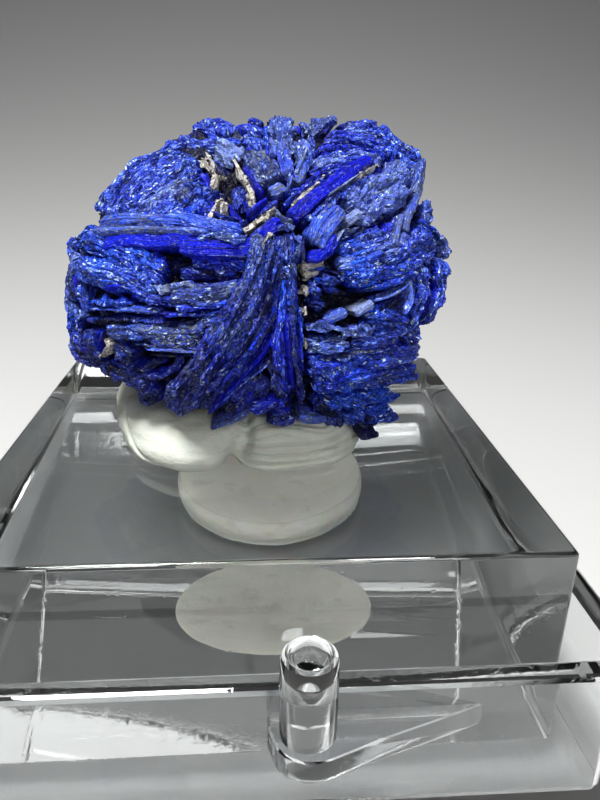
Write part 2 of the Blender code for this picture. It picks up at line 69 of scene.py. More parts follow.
BLOCK_LOW, BLOCK_HIGH = (np.array(corner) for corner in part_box("acrylic_block"))
BLOCK_SIDE = float(BLOCK_HIGH[0] - BLOCK_LOW[0])
BLOCK_TOP = float(BLOCK_HIGH[2])
BLOCK_BASE = float(BLOCK_LOW[2])
BLOCK_MIDDLE = (BLOCK_LOW[:2] + BLOCK_HIGH[:2]) / 2
BLOCK_EDGE = 0.00028  # radius of its edges

BOX_LOW, BOX_HIGH = (np.array(corner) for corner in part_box("box_base"))
BOX_OUTER = float(BOX_HIGH[0] - BOX_LOW[0])
BOX_WALL = 0.00125
BOX_FLOOR = 0.0011
BOX_HEIGHT = 0.0094
BOX_CORNER = 0.0012
POST_AT = np.array([0.0021, -0.0201])
POST_RADIUS = 0.00130
POST_TOP = float(BOX_HIGH[2])
DIMPLE_RADIUS = 0.00088
DIMPLE_DEPTH = 0.0014
LEDGE_TOP = 0.0081
LEDGE_THICKNESS = 0.0013
LEDGE_MIDDLE = np.array([0.0045, -0.0196])

# The rosette's place and the size of a layout square. Everything below them is in squares.
SQUARE = 0.00065
ROSETTE_AT = np.array([0.00036, 0.00119, BLOCK_TOP + 0.01088])
FACE_LOOK = 4.4, 21.3, -1.1  # degrees that a look straight into the face turns right, dips and rolls
SIGHT = np.array([4.0, -13.0, 67.5])  # a blade's place on the face is raised along its line to here
BALL_CENTRE = np.array([-0.4, -0.6, 0.0])
BALL_RADII = np.array([19.3, 16.4, 12.0])
BALL_POWER = 2.6  # 2 is an ellipsoid, more is fuller
BALL_EDGE = 0.76, 0.94  # from here to here on the face, walls lose the painted shade of the gaps, as they lie open to the light
EDGE_OUT = 0.07  # share by which the face's blades are drawn out at the ball's edge
CORE_SHARE = 0.82  # the core's size on the ball's
ROOT = np.array([0.0, -0.5, -6.0])  # the face blades' walls run in towards here
BLADE_DEPTH = 5.0  # from a blade's crown down its wall
WANDER = 0.20  # how far a rim strays to each side
RAGGED_END = 1.5  # how far a blade's strips end apart
SPLINTERS = 0.42  # to a square of a blade's length
SPLINTERS_INSIDE = 0.74  # splinters keep this far inside the ball's edge, as reach_of measures it,
PLATES_INSIDE = 0.70  # and so do the thin plates beside the blades
WALL_ROWS = 0.62  # share of a blade's wall that adds rows to its grid
CROWN_ROWS = 1.25  # over 1 gathers them towards the crown
LAYERS, BREAKS = 1.5, 0.33  # split layers to a square across a blade, and breaks in each to a square along it
CHIPS = 0.9, 3.0  # to a square along a blade and across it, and likewise:
SHINGLES = 0.55, 1.2
LUMPS = 0.5, 0.8
CHIP_HEIGHT, SHINGLE_HEIGHT, LUMP_HEIGHT = 0.75, 1.5, 0.6  # on how deep the blade's layers are cut
BURIED = 0.4, 0.7  # from here to here down the profile, a wall loses its relief
PLAIN = 0.04, 0.20  # likewise its finish, for a wall as deep as BLADE_DEPTH
DARK = 0.11, 0.36  # and likewise its painted shade
FINE_STEP, PLATE_STEP, SPLINTER_STEP, BACK_STEP = 0.15, 0.24, 0.19, 0.27  # the surfaces' grids
SHARP_FACET = 38  # degrees between facets that are shaded apart


# Numbers -----------------------------------------


def smooth_line(points, shares, closed=False):
    """A Catmull-Rom curve through the points, read at these shares of its run."""
    points = np.asarray(points, float)
    if closed:
        padded = np.vstack([points[-1], points, points[:2]])
    else:
        padded = np.vstack([2 * points[0] - points[1], points, 2 * points[-1] - points[-2]])
    spans = len(padded) - 3
    place = np.clip(np.asarray(shares, float) * spans, 0, spans - 1e-9)
    i = place.astype(int)
    t = (place - i)[..., None]
    a, b, c, d = padded[i], padded[i + 1], padded[i + 2], padded[i + 3]
    return 0.5 * (2 * b + (c - a) * t + (2 * a - 5 * b + 4 * c - d) * t**2 + (3 * b - a - 3 * c + d) * t**3)


def scatter(cells, seed):
    """An even random value in 0..1 for each whole-number cell, by mixing its numbers' bits."""
    cells = np.asarray(cells).astype(np.int64)
    keys = np.array([73856093, 19349663, 83492791])[: cells.shape[-1]]
    mixed = (cells * keys).sum(axis=-1) ^ (seed * 2654435761)
    mixed = ((mixed ^ (mixed >> 15)) * 2246822519) & 0xFFFFFFFF
    mixed = ((mixed ^ (mixed >> 13)) * 3266489917) & 0xFFFFFFFF
    return ((mixed ^ (mixed >> 16)) & 0xFFFF) / 65535.0


def noise(places, seed=0):
    """Smooth value noise in -1..1: random values on whole-number corners, eased between them."""
    places = np.asarray(places, float)
    low = np.floor(places).astype(np.int64)
    part = places - low
    ease = part * part * (3 - 2 * part)
    total = np.zeros(places.shape[:-1])
    dimensions = places.shape[-1]
    for corner in range(2**dimensions):
        step = np.array([(corner >> axis) & 1 for axis in range(dimensions)])
        weight = np.prod(np.where(step, ease, 1 - ease), axis=-1)
        total += weight * scatter(low + step, seed)
    return total * 2 - 1


def rough(places, seed=0, octaves=3):
    """Several layers of noise, each twice as fine and half as strong as the last."""
    return sum(noise(places * 2.03**i, seed + i) * 0.5**i for i in range(octaves))


def chips(places, seed=0):
    """Crystal chips of about one unit: the nearest of a jittered lattice's points owns each place, and gives
    it a random height and a random slope, so that each cell is a flat facet. Returns height and the owner's
    random value."""
    low = np.floor(places).astype(np.int64)
    best = np.full(places.shape[:-1], 9.0)
    owner = np.zeros(places.shape, np.int64)
    offset = np.zeros(places.shape)
    for corner in range(27):
        cell = low + np.array([corner % 3 - 1, corner // 3 % 3 - 1, corner // 9 - 1])
        jitter = np.stack([scatter(cell, seed + axis) for axis in range(3)], -1)
        away = places - cell - jitter
        distance = (away * away).sum(-1)
        nearer = distance < best
        best = np.where(nearer, distance, best)
        owner = np.where(nearer[..., None], cell, owner)
        offset = np.where(nearer[..., None], away, offset)
    slope = np.stack([scatter(owner, seed + 5 + axis) for axis in range(3)], -1) - 0.5
    chance = scatter(owner, seed + 9)
    return chance - 0.5 + (slope * offset).sum(-1) * 2.0, chance


def bump_over(values, middle, width):
    """A bell curve round the middle."""
    return np.exp(-(((values - middle) / width) ** 2))


def ramp(values, low, high):
    """0 below low, 1 above high, eased between."""
    t = np.clip((values - low) / (high - low), 0, 1)
    return t * t * (3 - 2 * t)


def vectors(*parts):
    """The parts, spread to a common shape, as the components of one array of vectors."""
    return np.stack(np.broadcast_arrays(*parts), axis=-1)


def unit(ways):
    """The same directions, each one long."""
    return ways / np.maximum(np.linalg.norm(ways, axis=-1, keepdims=True), 1e-12)


def steps_of(line):
    """The lengths between a line's neighbouring points."""
    return np.linalg.norm(np.diff(line, axis=0), axis=1)


def circle(count):
    """Angles all round, the first one not repeated."""
    return np.linspace(0, 2 * math.pi, count + 1)[:-1]


def look_axes(turn, tilt, roll):
    """Right, up and back of a look that turns right and down from +Y and then rolls, by these degrees."""
    turn, tilt, roll = math.radians(turn), math.radians(tilt), math.radians(roll)
    back = -np.array([math.sin(turn) * math.cos(tilt), math.cos(turn) * math.cos(tilt), -math.sin(tilt)])
    level = np.array([math.cos(turn), -math.sin(turn), 0.0])
    up = np.cross(back, level)
    right, up = math.cos(roll) * level - math.sin(roll) * up, math.sin(roll) * level + math.cos(roll) * up
    return np.array([right, up, back])


# Meshes ------------------------------------------


class Surface:
    """Grids of points gathered into one mesh, with named values at every point."""

    def __init__(self, name):
        self.name = name
        self.points, self.quads, self.caps, self.values = [], [], [], {}
        self.count = 0

    def grid(self, points, closed=False, cap=False, **values):
        """Adds a rows x columns grid. Closed joins its last column to its first; cap fills both end rows."""
        rows, columns = points.shape[:2]
        index = np.arange(rows * columns).reshape(rows, columns) + self.count
        across = np.column_stack([index, index[:, :1]]) if closed else index
        a, b = across[:-1, :-1], across[:-1, 1:]
        d, c = across[1:, :-1], across[1:, 1:]
        self.quads.append(np.stack([a, b, c, d], axis=-1).reshape(-1, 4))
        if cap:
            self.caps += [index[0, ::-1].tolist(), index[-1].tolist()]
        self.points.append(points.reshape(-1, 3))
        self.count += rows * columns
        for key, value in values.items():
            value = np.broadcast_to(value, (rows, columns, 3)).reshape(-1, 3)
            self.values.setdefault(key, []).append(value)

    def finish(self, material, sharp=None):
        """The mesh as one object, smooth but for edges sharper than this many degrees."""
        mesh = bpy.data.meshes.new(self.name)
        points = np.concatenate(self.points).astype(np.float32)
        quads = np.concatenate(self.quads).astype(np.int32)
        corners = np.concatenate([quads.ravel(), *(np.array(cap, np.int32) for cap in self.caps)])
        sizes = np.concatenate([np.full(len(quads), 4), [len(cap) for cap in self.caps]]).astype(np.int32)
        mesh.vertices.add(len(points))
        mesh.vertices.foreach_set("co", points.ravel())
        mesh.loops.add(len(corners))
        mesh.loops.foreach_set("vertex_index", corners)
        mesh.polygons.add(len(sizes))
        mesh.polygons.foreach_set("loop_start", np.concatenate([[0], np.cumsum(sizes)[:-1]]).astype(np.int32))
        mesh.update(calc_edges=True)
        mesh.validate()
        for key, parts in self.values.items():
            stored = mesh.attributes.new(key, "FLOAT_VECTOR", "POINT")
            stored.data.foreach_set("vector", np.concatenate(parts).astype(np.float32).ravel())
        mesh.shade_smooth()
        if sharp:
            mesh.set_sharp_from_angle(angle=math.radians(sharp))
        mesh.materials.append(material)
        obj = bpy.data.objects.new(self.name, mesh)
        bpy.context.scene.collection.objects.link(obj)
        return obj


def normals_of(points):
    """Unit normals of a grid, from its rows and columns, on the side that the columns turn left to."""
    return unit(np.cross(np.gradient(points, axis=0), np.gradient(points, axis=1)))


def stacked(name, rings, material, sharp=None):
    """A solid from level outlines of equal count, each with its height, closed at both ends."""
    surface = Surface(name)
    points = [np.column_stack([flat, np.full(len(flat), height)]) for flat, height in rings]
    surface.grid(np.array(points), closed=True, cap=True)
    return surface.finish(material, sharp)


def put(name, data, axes, at):
    """A light or a camera whose right, up and back are these axes."""
    obj = bpy.data.objects.new(name, data)
    turned = Matrix(np.transpose(axes).tolist()).to_4x4()
    turned.translation = at
    obj.matrix_world = turned
    bpy.context.scene.collection.objects.link(obj)
    return obj


def place(piece, node, slot):
    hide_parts(node)
    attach(piece, "root")


# Shader maths ------------------------------------


class Value:
    """A shader socket that takes + - * with numbers and other sockets."""

    def __init__(self, paint, socket):
        self.paint, self.socket = paint, socket

    def math(self, operation, *others):
        return self.paint.node("ShaderNodeMath", {"operation": operation}, self, *others)

    def __add__(self, other):
        return self.math("ADD", other)

    def __sub__(self, other):
        return self.math("SUBTRACT", other)

    def __mul__(self, other):
        return self.math("MULTIPLY", other)

    __radd__ = __add__

    def __rsub__(self, other):
        return self.paint.node("ShaderNodeMath", {"operation": "SUBTRACT"}, other, self)

    def clamp(self):
        return self.math("MAXIMUM", 0.0).math("MINIMUM", 1.0)

    def ramp(self, low, high):
        """0 below low, 1 above high, eased between."""
        settings = {"interpolation_type": "SMOOTHSTEP"}
        return self.paint.node("ShaderNodeMapRange", settings, self, low, high, 0.0, 1.0)


class Paint:
    """One material and its nodes."""

    def __init__(self, name, **fixed):
        self.material = bpy.data.materials.new(name)
        self.material.use_nodes = True
        self.nodes, self.links = self.material.node_tree.nodes, self.material.node_tree.links
        self.shader = self.nodes["Principled BSDF"]
        for socket, value in fixed.items():
            self.shader.inputs[socket.replace("_", " ")].default_value = value

    def set(self, socket, value):
        if isinstance(value, Value):
            self.links.new(value.socket, socket)
        else:
            socket.default_value = value

    def node(self, kind, settings, *inputs, out=0, **named):
        made = self.nodes.new(kind)
        for key, value in settings.items():
            setattr(made, key, value)
        for socket, value in zip(made.inputs, inputs):
            self.set(socket, value)
        for key, value in named.items():
            self.set(made.inputs[key.replace("_", " ")], value)
        return Value(self, made.outputs[out])

    def objects(self):
        return self.node("ShaderNodeTexCoord", {}, out="Object")

    def stored(self, name):
        return self.node("ShaderNodeAttribute", {"attribute_name": name}, out="Vector")

    def parts(self, vector):
        """The three numbers of a vector."""
        split = self.node("ShaderNodeSeparateXYZ", {}, vector).socket.node
        return [Value(self, output) for output in split.outputs]

    def stretched(self, vector, scale):
        return self.vector("MULTIPLY", vector, scale)

    def vector(self, operation, *inputs, **named):
        return self.node("ShaderNodeVectorMath", {"operation": operation}, *inputs, **named)

    def noise(self, vector, scale, detail=3.0, roughness=0.55):
        return self.node("ShaderNodeTexNoise", {}, vector, Scale=scale, Detail=detail, Roughness=roughness)

    def colour_noise(self, vector, scale):
        """Three noises about zero, as one vector."""
        made = self.node("ShaderNodeTexNoise", {}, vector, out="Color", Scale=scale, Detail=1.0)
        return self.vector("SUBTRACT", made, (0.5, 0.5, 0.5))

    def cells(self, vector, scale, feature="F1", out="Distance"):
        return self.node("ShaderNodeTexVoronoi", {"feature": feature}, vector, out=out, Scale=scale)

    def mix(self, share, first, second):
        """From the first colour where the share is 0 or less to the second where it is 1 or more."""
        made = self.nodes.new("ShaderNodeMix")
        made.data_type = "RGBA"
        for index, value in ((0, share), (6, first), (7, second)):  # its factor and its two colour sockets
            self.set(made.inputs[index], (*value, 1.0) if isinstance(value, tuple) else value)
        return Value(self, made.outputs[2])

    def coats(self, colour, *coats):
        """The colour under coats of others, each with the share of it that shows."""
        for share, coat in coats:
            colour = self.mix(share, colour, coat)
        return colour

    def bump(self, height, strength, distance, normal=None):
        named = dict(Strength=strength, Distance=distance, Height=height)
        if normal:
            named["Normal"] = normal
        return self.node("ShaderNodeBump", {}, **named)

    def finish(self, **varying):
        for socket, value in varying.items():
            self.set(self.shader.inputs[socket.replace("_", " ")], value)
        return self.material


def azurite_finish():
    """Deep blue crystal. "flow" holds along, across (squares) and a number per blade; "shade" holds painted
    shade by depth into a gap and in grooves, vividness and satin; "crust" holds limonite dust, matrix and how
    high a chip stands. Each cell of two sets of fine cells tilts the normal its own way, so that it glints as
    a crystal face does, and dark lines part the longer cells. Pale flecks and glints are painted highlights
    in the colour."""
    paint = Paint("azurite", IOR=1.73, Specular_IOR_Level=0.11)
    here, flow = paint.objects(), paint.stored("flow")
    depth, vivid, pale = paint.parts(paint.stored("shade"))
    dust, matrix, layer = paint.parts(paint.stored("crust"))
    patches = paint.noise(here, 480.0, 3.0)
    hues = paint.noise(here, 130.0, 2.0)
    grain = paint.noise(here, 7500.0, 2.0, 0.6)
    streaks = paint.noise(paint.stretched(flow, (0.7, 3.6, 7.0)), 1.0, 3.0, 0.6)
    striae = paint.noise(paint.stretched(flow, (0.16, 8.0, 7.0)), 1.0, 2.0, 0.6)
    bent = paint.vector("ADD", flow, paint.vector("SCALE", paint.colour_noise(here, 1500.0), Scale=0.8))
    flakes = paint.stretched(bent, (1.3, 4.2, 7.0))
    seams = 1.0 - paint.cells(flakes, 1.0, "DISTANCE_TO_EDGE").ramp(0.02, 0.14)
    long_facets = paint.cells(flakes, 1.0, out="Color")
    small_facets = paint.cells(paint.stretched(bent, (2.9, 7.0, 7.0)), 1.0, out="Color")
    first, second, third = paint.parts(long_facets)
    chance, other, last = paint.parts(small_facets)
    glass = 1.0 - pale.ramp(0.0, 0.15)
    calm = (pale.ramp(0.92, 0.97) + glass).clamp()
    strength = (vivid + (patches - 0.5) * 1.8 + (layer - 0.5) * 0.6 + (streaks - 0.5) * 0.8).clamp()
    satin = (pale + (patches - 0.5) * 1.2 + (layer - 0.5) * 0.5).clamp() * pale.ramp(0.0, 0.2)
    # painted highlights: pale sparkle flecks on the satin faces
    painted_sparkle = second.ramp(0.62, 0.74) * satin * streaks.ramp(0.42, 0.58)
    grit = (1.0 - other.ramp(0.20, 0.50)) * (1.0 - calm)
    warm = paint.mix(last, (0.34, 0.31, 0.25), (0.56, 0.54, 0.49))
    stone = paint.mix(matrix.ramp(0.4, 0.8), (0.32, 0.41, 0.48), warm)
    blue = paint.coats(
        paint.mix(strength, (0.0006, 0.0016, 0.034), (0.001, 0.006, 0.74)),
        (satin * (0.32 + first * 0.85), (0.062, 0.130, 0.82)),  # satin facets
        (hues.ramp(0.46, 0.62) * strength * (0.74 - glass * 0.66), (0.004, 0.095, 0.90)),  # azure patches
        (glass * 0.35, (0.0010, 0.0020, 0.30)),  # glassy blades
        (painted_sparkle * (1.0 - calm * 0.6) * 0.85, (0.17, 0.30, 0.92)),  # pale flecks: painted sparkle highlights
        (striae.ramp(0.50, 0.60) * calm * 0.75, (0.001, 0.004, 0.07)),  # dark striae on calm faces
        (grit * (1.0 - satin * 0.45) * 0.80, (0.0006, 0.0018, 0.045)),  # dark facets on rough ones
        (chance.ramp(0.91, 0.94) * (satin + 0.22) * (1.0 - calm * 0.5), (0.50, 0.66, 1.0)),  # glints: painted highlights
        (dust * patches.ramp(0.38, 0.58) * other.ramp(0.30, 0.55), (0.090, 0.108, 0.112)),  # dust
        (seams * (1.0 - matrix) * (0.8 - calm * 0.5), (0.0006, 0.001, 0.012)),  # seams
        (matrix * (0.15 + streaks * 1.6), stone),
        (depth * 0.97, (0.0003, 0.0005, 0.006)),  # painted shade in the gaps and grooves
    )
    tilt = paint.vector("SCALE", long_facets, Scale=0.85)
    tilt = paint.vector("ADD", tilt, paint.vector("SCALE", small_facets, Scale=0.65))
    tilt = paint.vector("SUBTRACT", tilt, (0.75, 0.75, 0.75))  # half of both scales: level on average
    tilt = paint.vector("SCALE", tilt, Scale=1.0 - calm * 0.55)
    face = paint.node("ShaderNodeNewGeometry", {}, out="Normal")
    normal = paint.vector("NORMALIZE", paint.vector("ADD", face, tilt))
    gloss = 0.42 + grain * 0.20 - third.ramp(0.55, 0.85) * 0.30
    height = grain + streaks * 0.8 - seams * 1.2 + striae * calm * 3.0
    return paint.finish(Base_Color=blue, Roughness=gloss, Normal=paint.bump(height, 0.7, 0.00007, normal))


def putty_finish(name, colour, stain, stain_share):
    """Kneaded putty: matt and slightly waxy, with faint mottling, level wrinkles and a fine grain."""
    paint = Paint(name, Subsurface_Weight=0.15, Subsurface_Scale=0.0006, Specular_IOR_Level=0.25)
    here = paint.objects()
    mottle = paint.noise(here, 420.0, 4.0)
    grain = paint.noise(here, 6000.0, 3.0)
    wrinkles = paint.noise(paint.stretched(here, (1.0, 1.0, 3.5)), 480.0, 4.0, 0.62)
    specks = paint.cells(here, 900.0)
    tone = paint.coats(
        colour,
        (mottle.ramp(0.35, 0.75) * stain_share, stain),
        # darker along the wrinkles' troughs, where the bump sinks
        ((1.0 - wrinkles.ramp(0.34, 0.44)) * 0.35, tuple(0.75 * level for level in stain)),
        ((1.0 - specks.ramp(0.06, 0.10)) * 0.25, tuple(0.70 * level for level in stain)),
    )
    normal = paint.bump(grain * 0.6 + mottle * 1.5 + wrinkles * 2.5, 0.50, 0.00010)
    return paint.finish(Base_Color=tone, Roughness=0.68 + mottle * 0.2, Normal=normal)


def clear_finish(name, tint, ior, haze, scratch):
    """Clear plastic by transmission and IOR, with fine scratches and smears in its gloss and surface."""
    paint = Paint(name, Transmission_Weight=1.0, IOR=ior, Base_Color=(*tint, 1.0))
    here = paint.objects()
    marks = paint.noise(paint.stretched(here, (1.0, 0.12, 1.0)), 2600.0, 3.0)
    smears = paint.noise(here, 190.0, 3.0)
    return paint.finish(
        Roughness=haze + marks.ramp(0.60, 0.78) * scratch + smears.ramp(0.5, 0.8) * haze,
        Normal=paint.bump(marks.ramp(0.55, 0.8) + smears * 2.0, 0.05, 0.00003),
    )


def floor_finish():
    return Paint("pale_floor", Roughness=0.75, Base_Color=(0.46, 0.46, 0.45, 1.0)).finish()


# Rosette -----------------------------------------


def mirrored(end, *half):
    """A blade's profile: how full the blade still is at its very end, and its cross-section from one wall's
    foot over the crown to the other, as half width and depth below the crown."""
    return end, [*half, *((-x, y) for x, y in half[-2::-1])]


ROUND = mirrored(0.45, (0.70, 0.70), (0.88, 0.40), (1.00, 0.20), (0.80, 0.07), (0.42, 0.01), (0.0, -0.02))
FLAT = mirrored(0.70, (0.75, 0.70), (0.92, 0.40), (1.00, 0.11), (0.92, 0.02), (0.45, 0.00), (0.0, -0.01))
SHARP = mirrored(0.15, (0.85, 0.70), (0.98, 0.40), (0.98, 0.20), (0.50, 0.06), (0.20, 0.00), (0.0, -0.02))

# Finishes of a blade: vividness, satin, limonite dust, matrix, and how deep its layers are cut (squares).
ROUGH = (0.50, 0.55, 0.12, 0.0, 0.24)
DOME = (0.60, 0.88, 0.12, 0.0, 0.20)
SATIN = (0.55, 0.98, 0.65, 0.0, 0.08)
FROST = (0.40, 0.88, 0.35, 0.10, 0.22)
PEARL = (0.50, 0.91, 0.15, 0.16, 0.20)
RIME = (0.40, 0.90, 0.20, 0.36, 0.22)
VIVID = (0.90, 0.30, 0.05, 0.0, 0.11)
GLASSY = (0.95, 0.02, 0.00, 0.0, 0.05)
AZURE = (0.80, 0.70, 0.05, 0.0, 0.22)
DUSTY = (0.35, 0.30, 0.90, 0.0, 0.13)
BARK = (0.45, 0.16, 0.70, 0.0, 0.11)
NAVY = (0.25, 0.12, 0.35, 0.0, 0.15)
CREAM = (0.30, 0.30, 0.20, 0.95, 0.16)
SLATE = (0.30, 0.98, 0.80, 0.06, 0.04)
SUGAR = (0.35, 0.60, 0.90, 0.05, 0.12)
ICE = (0.30, 0.98, 0.30, 0.50, 0.06)

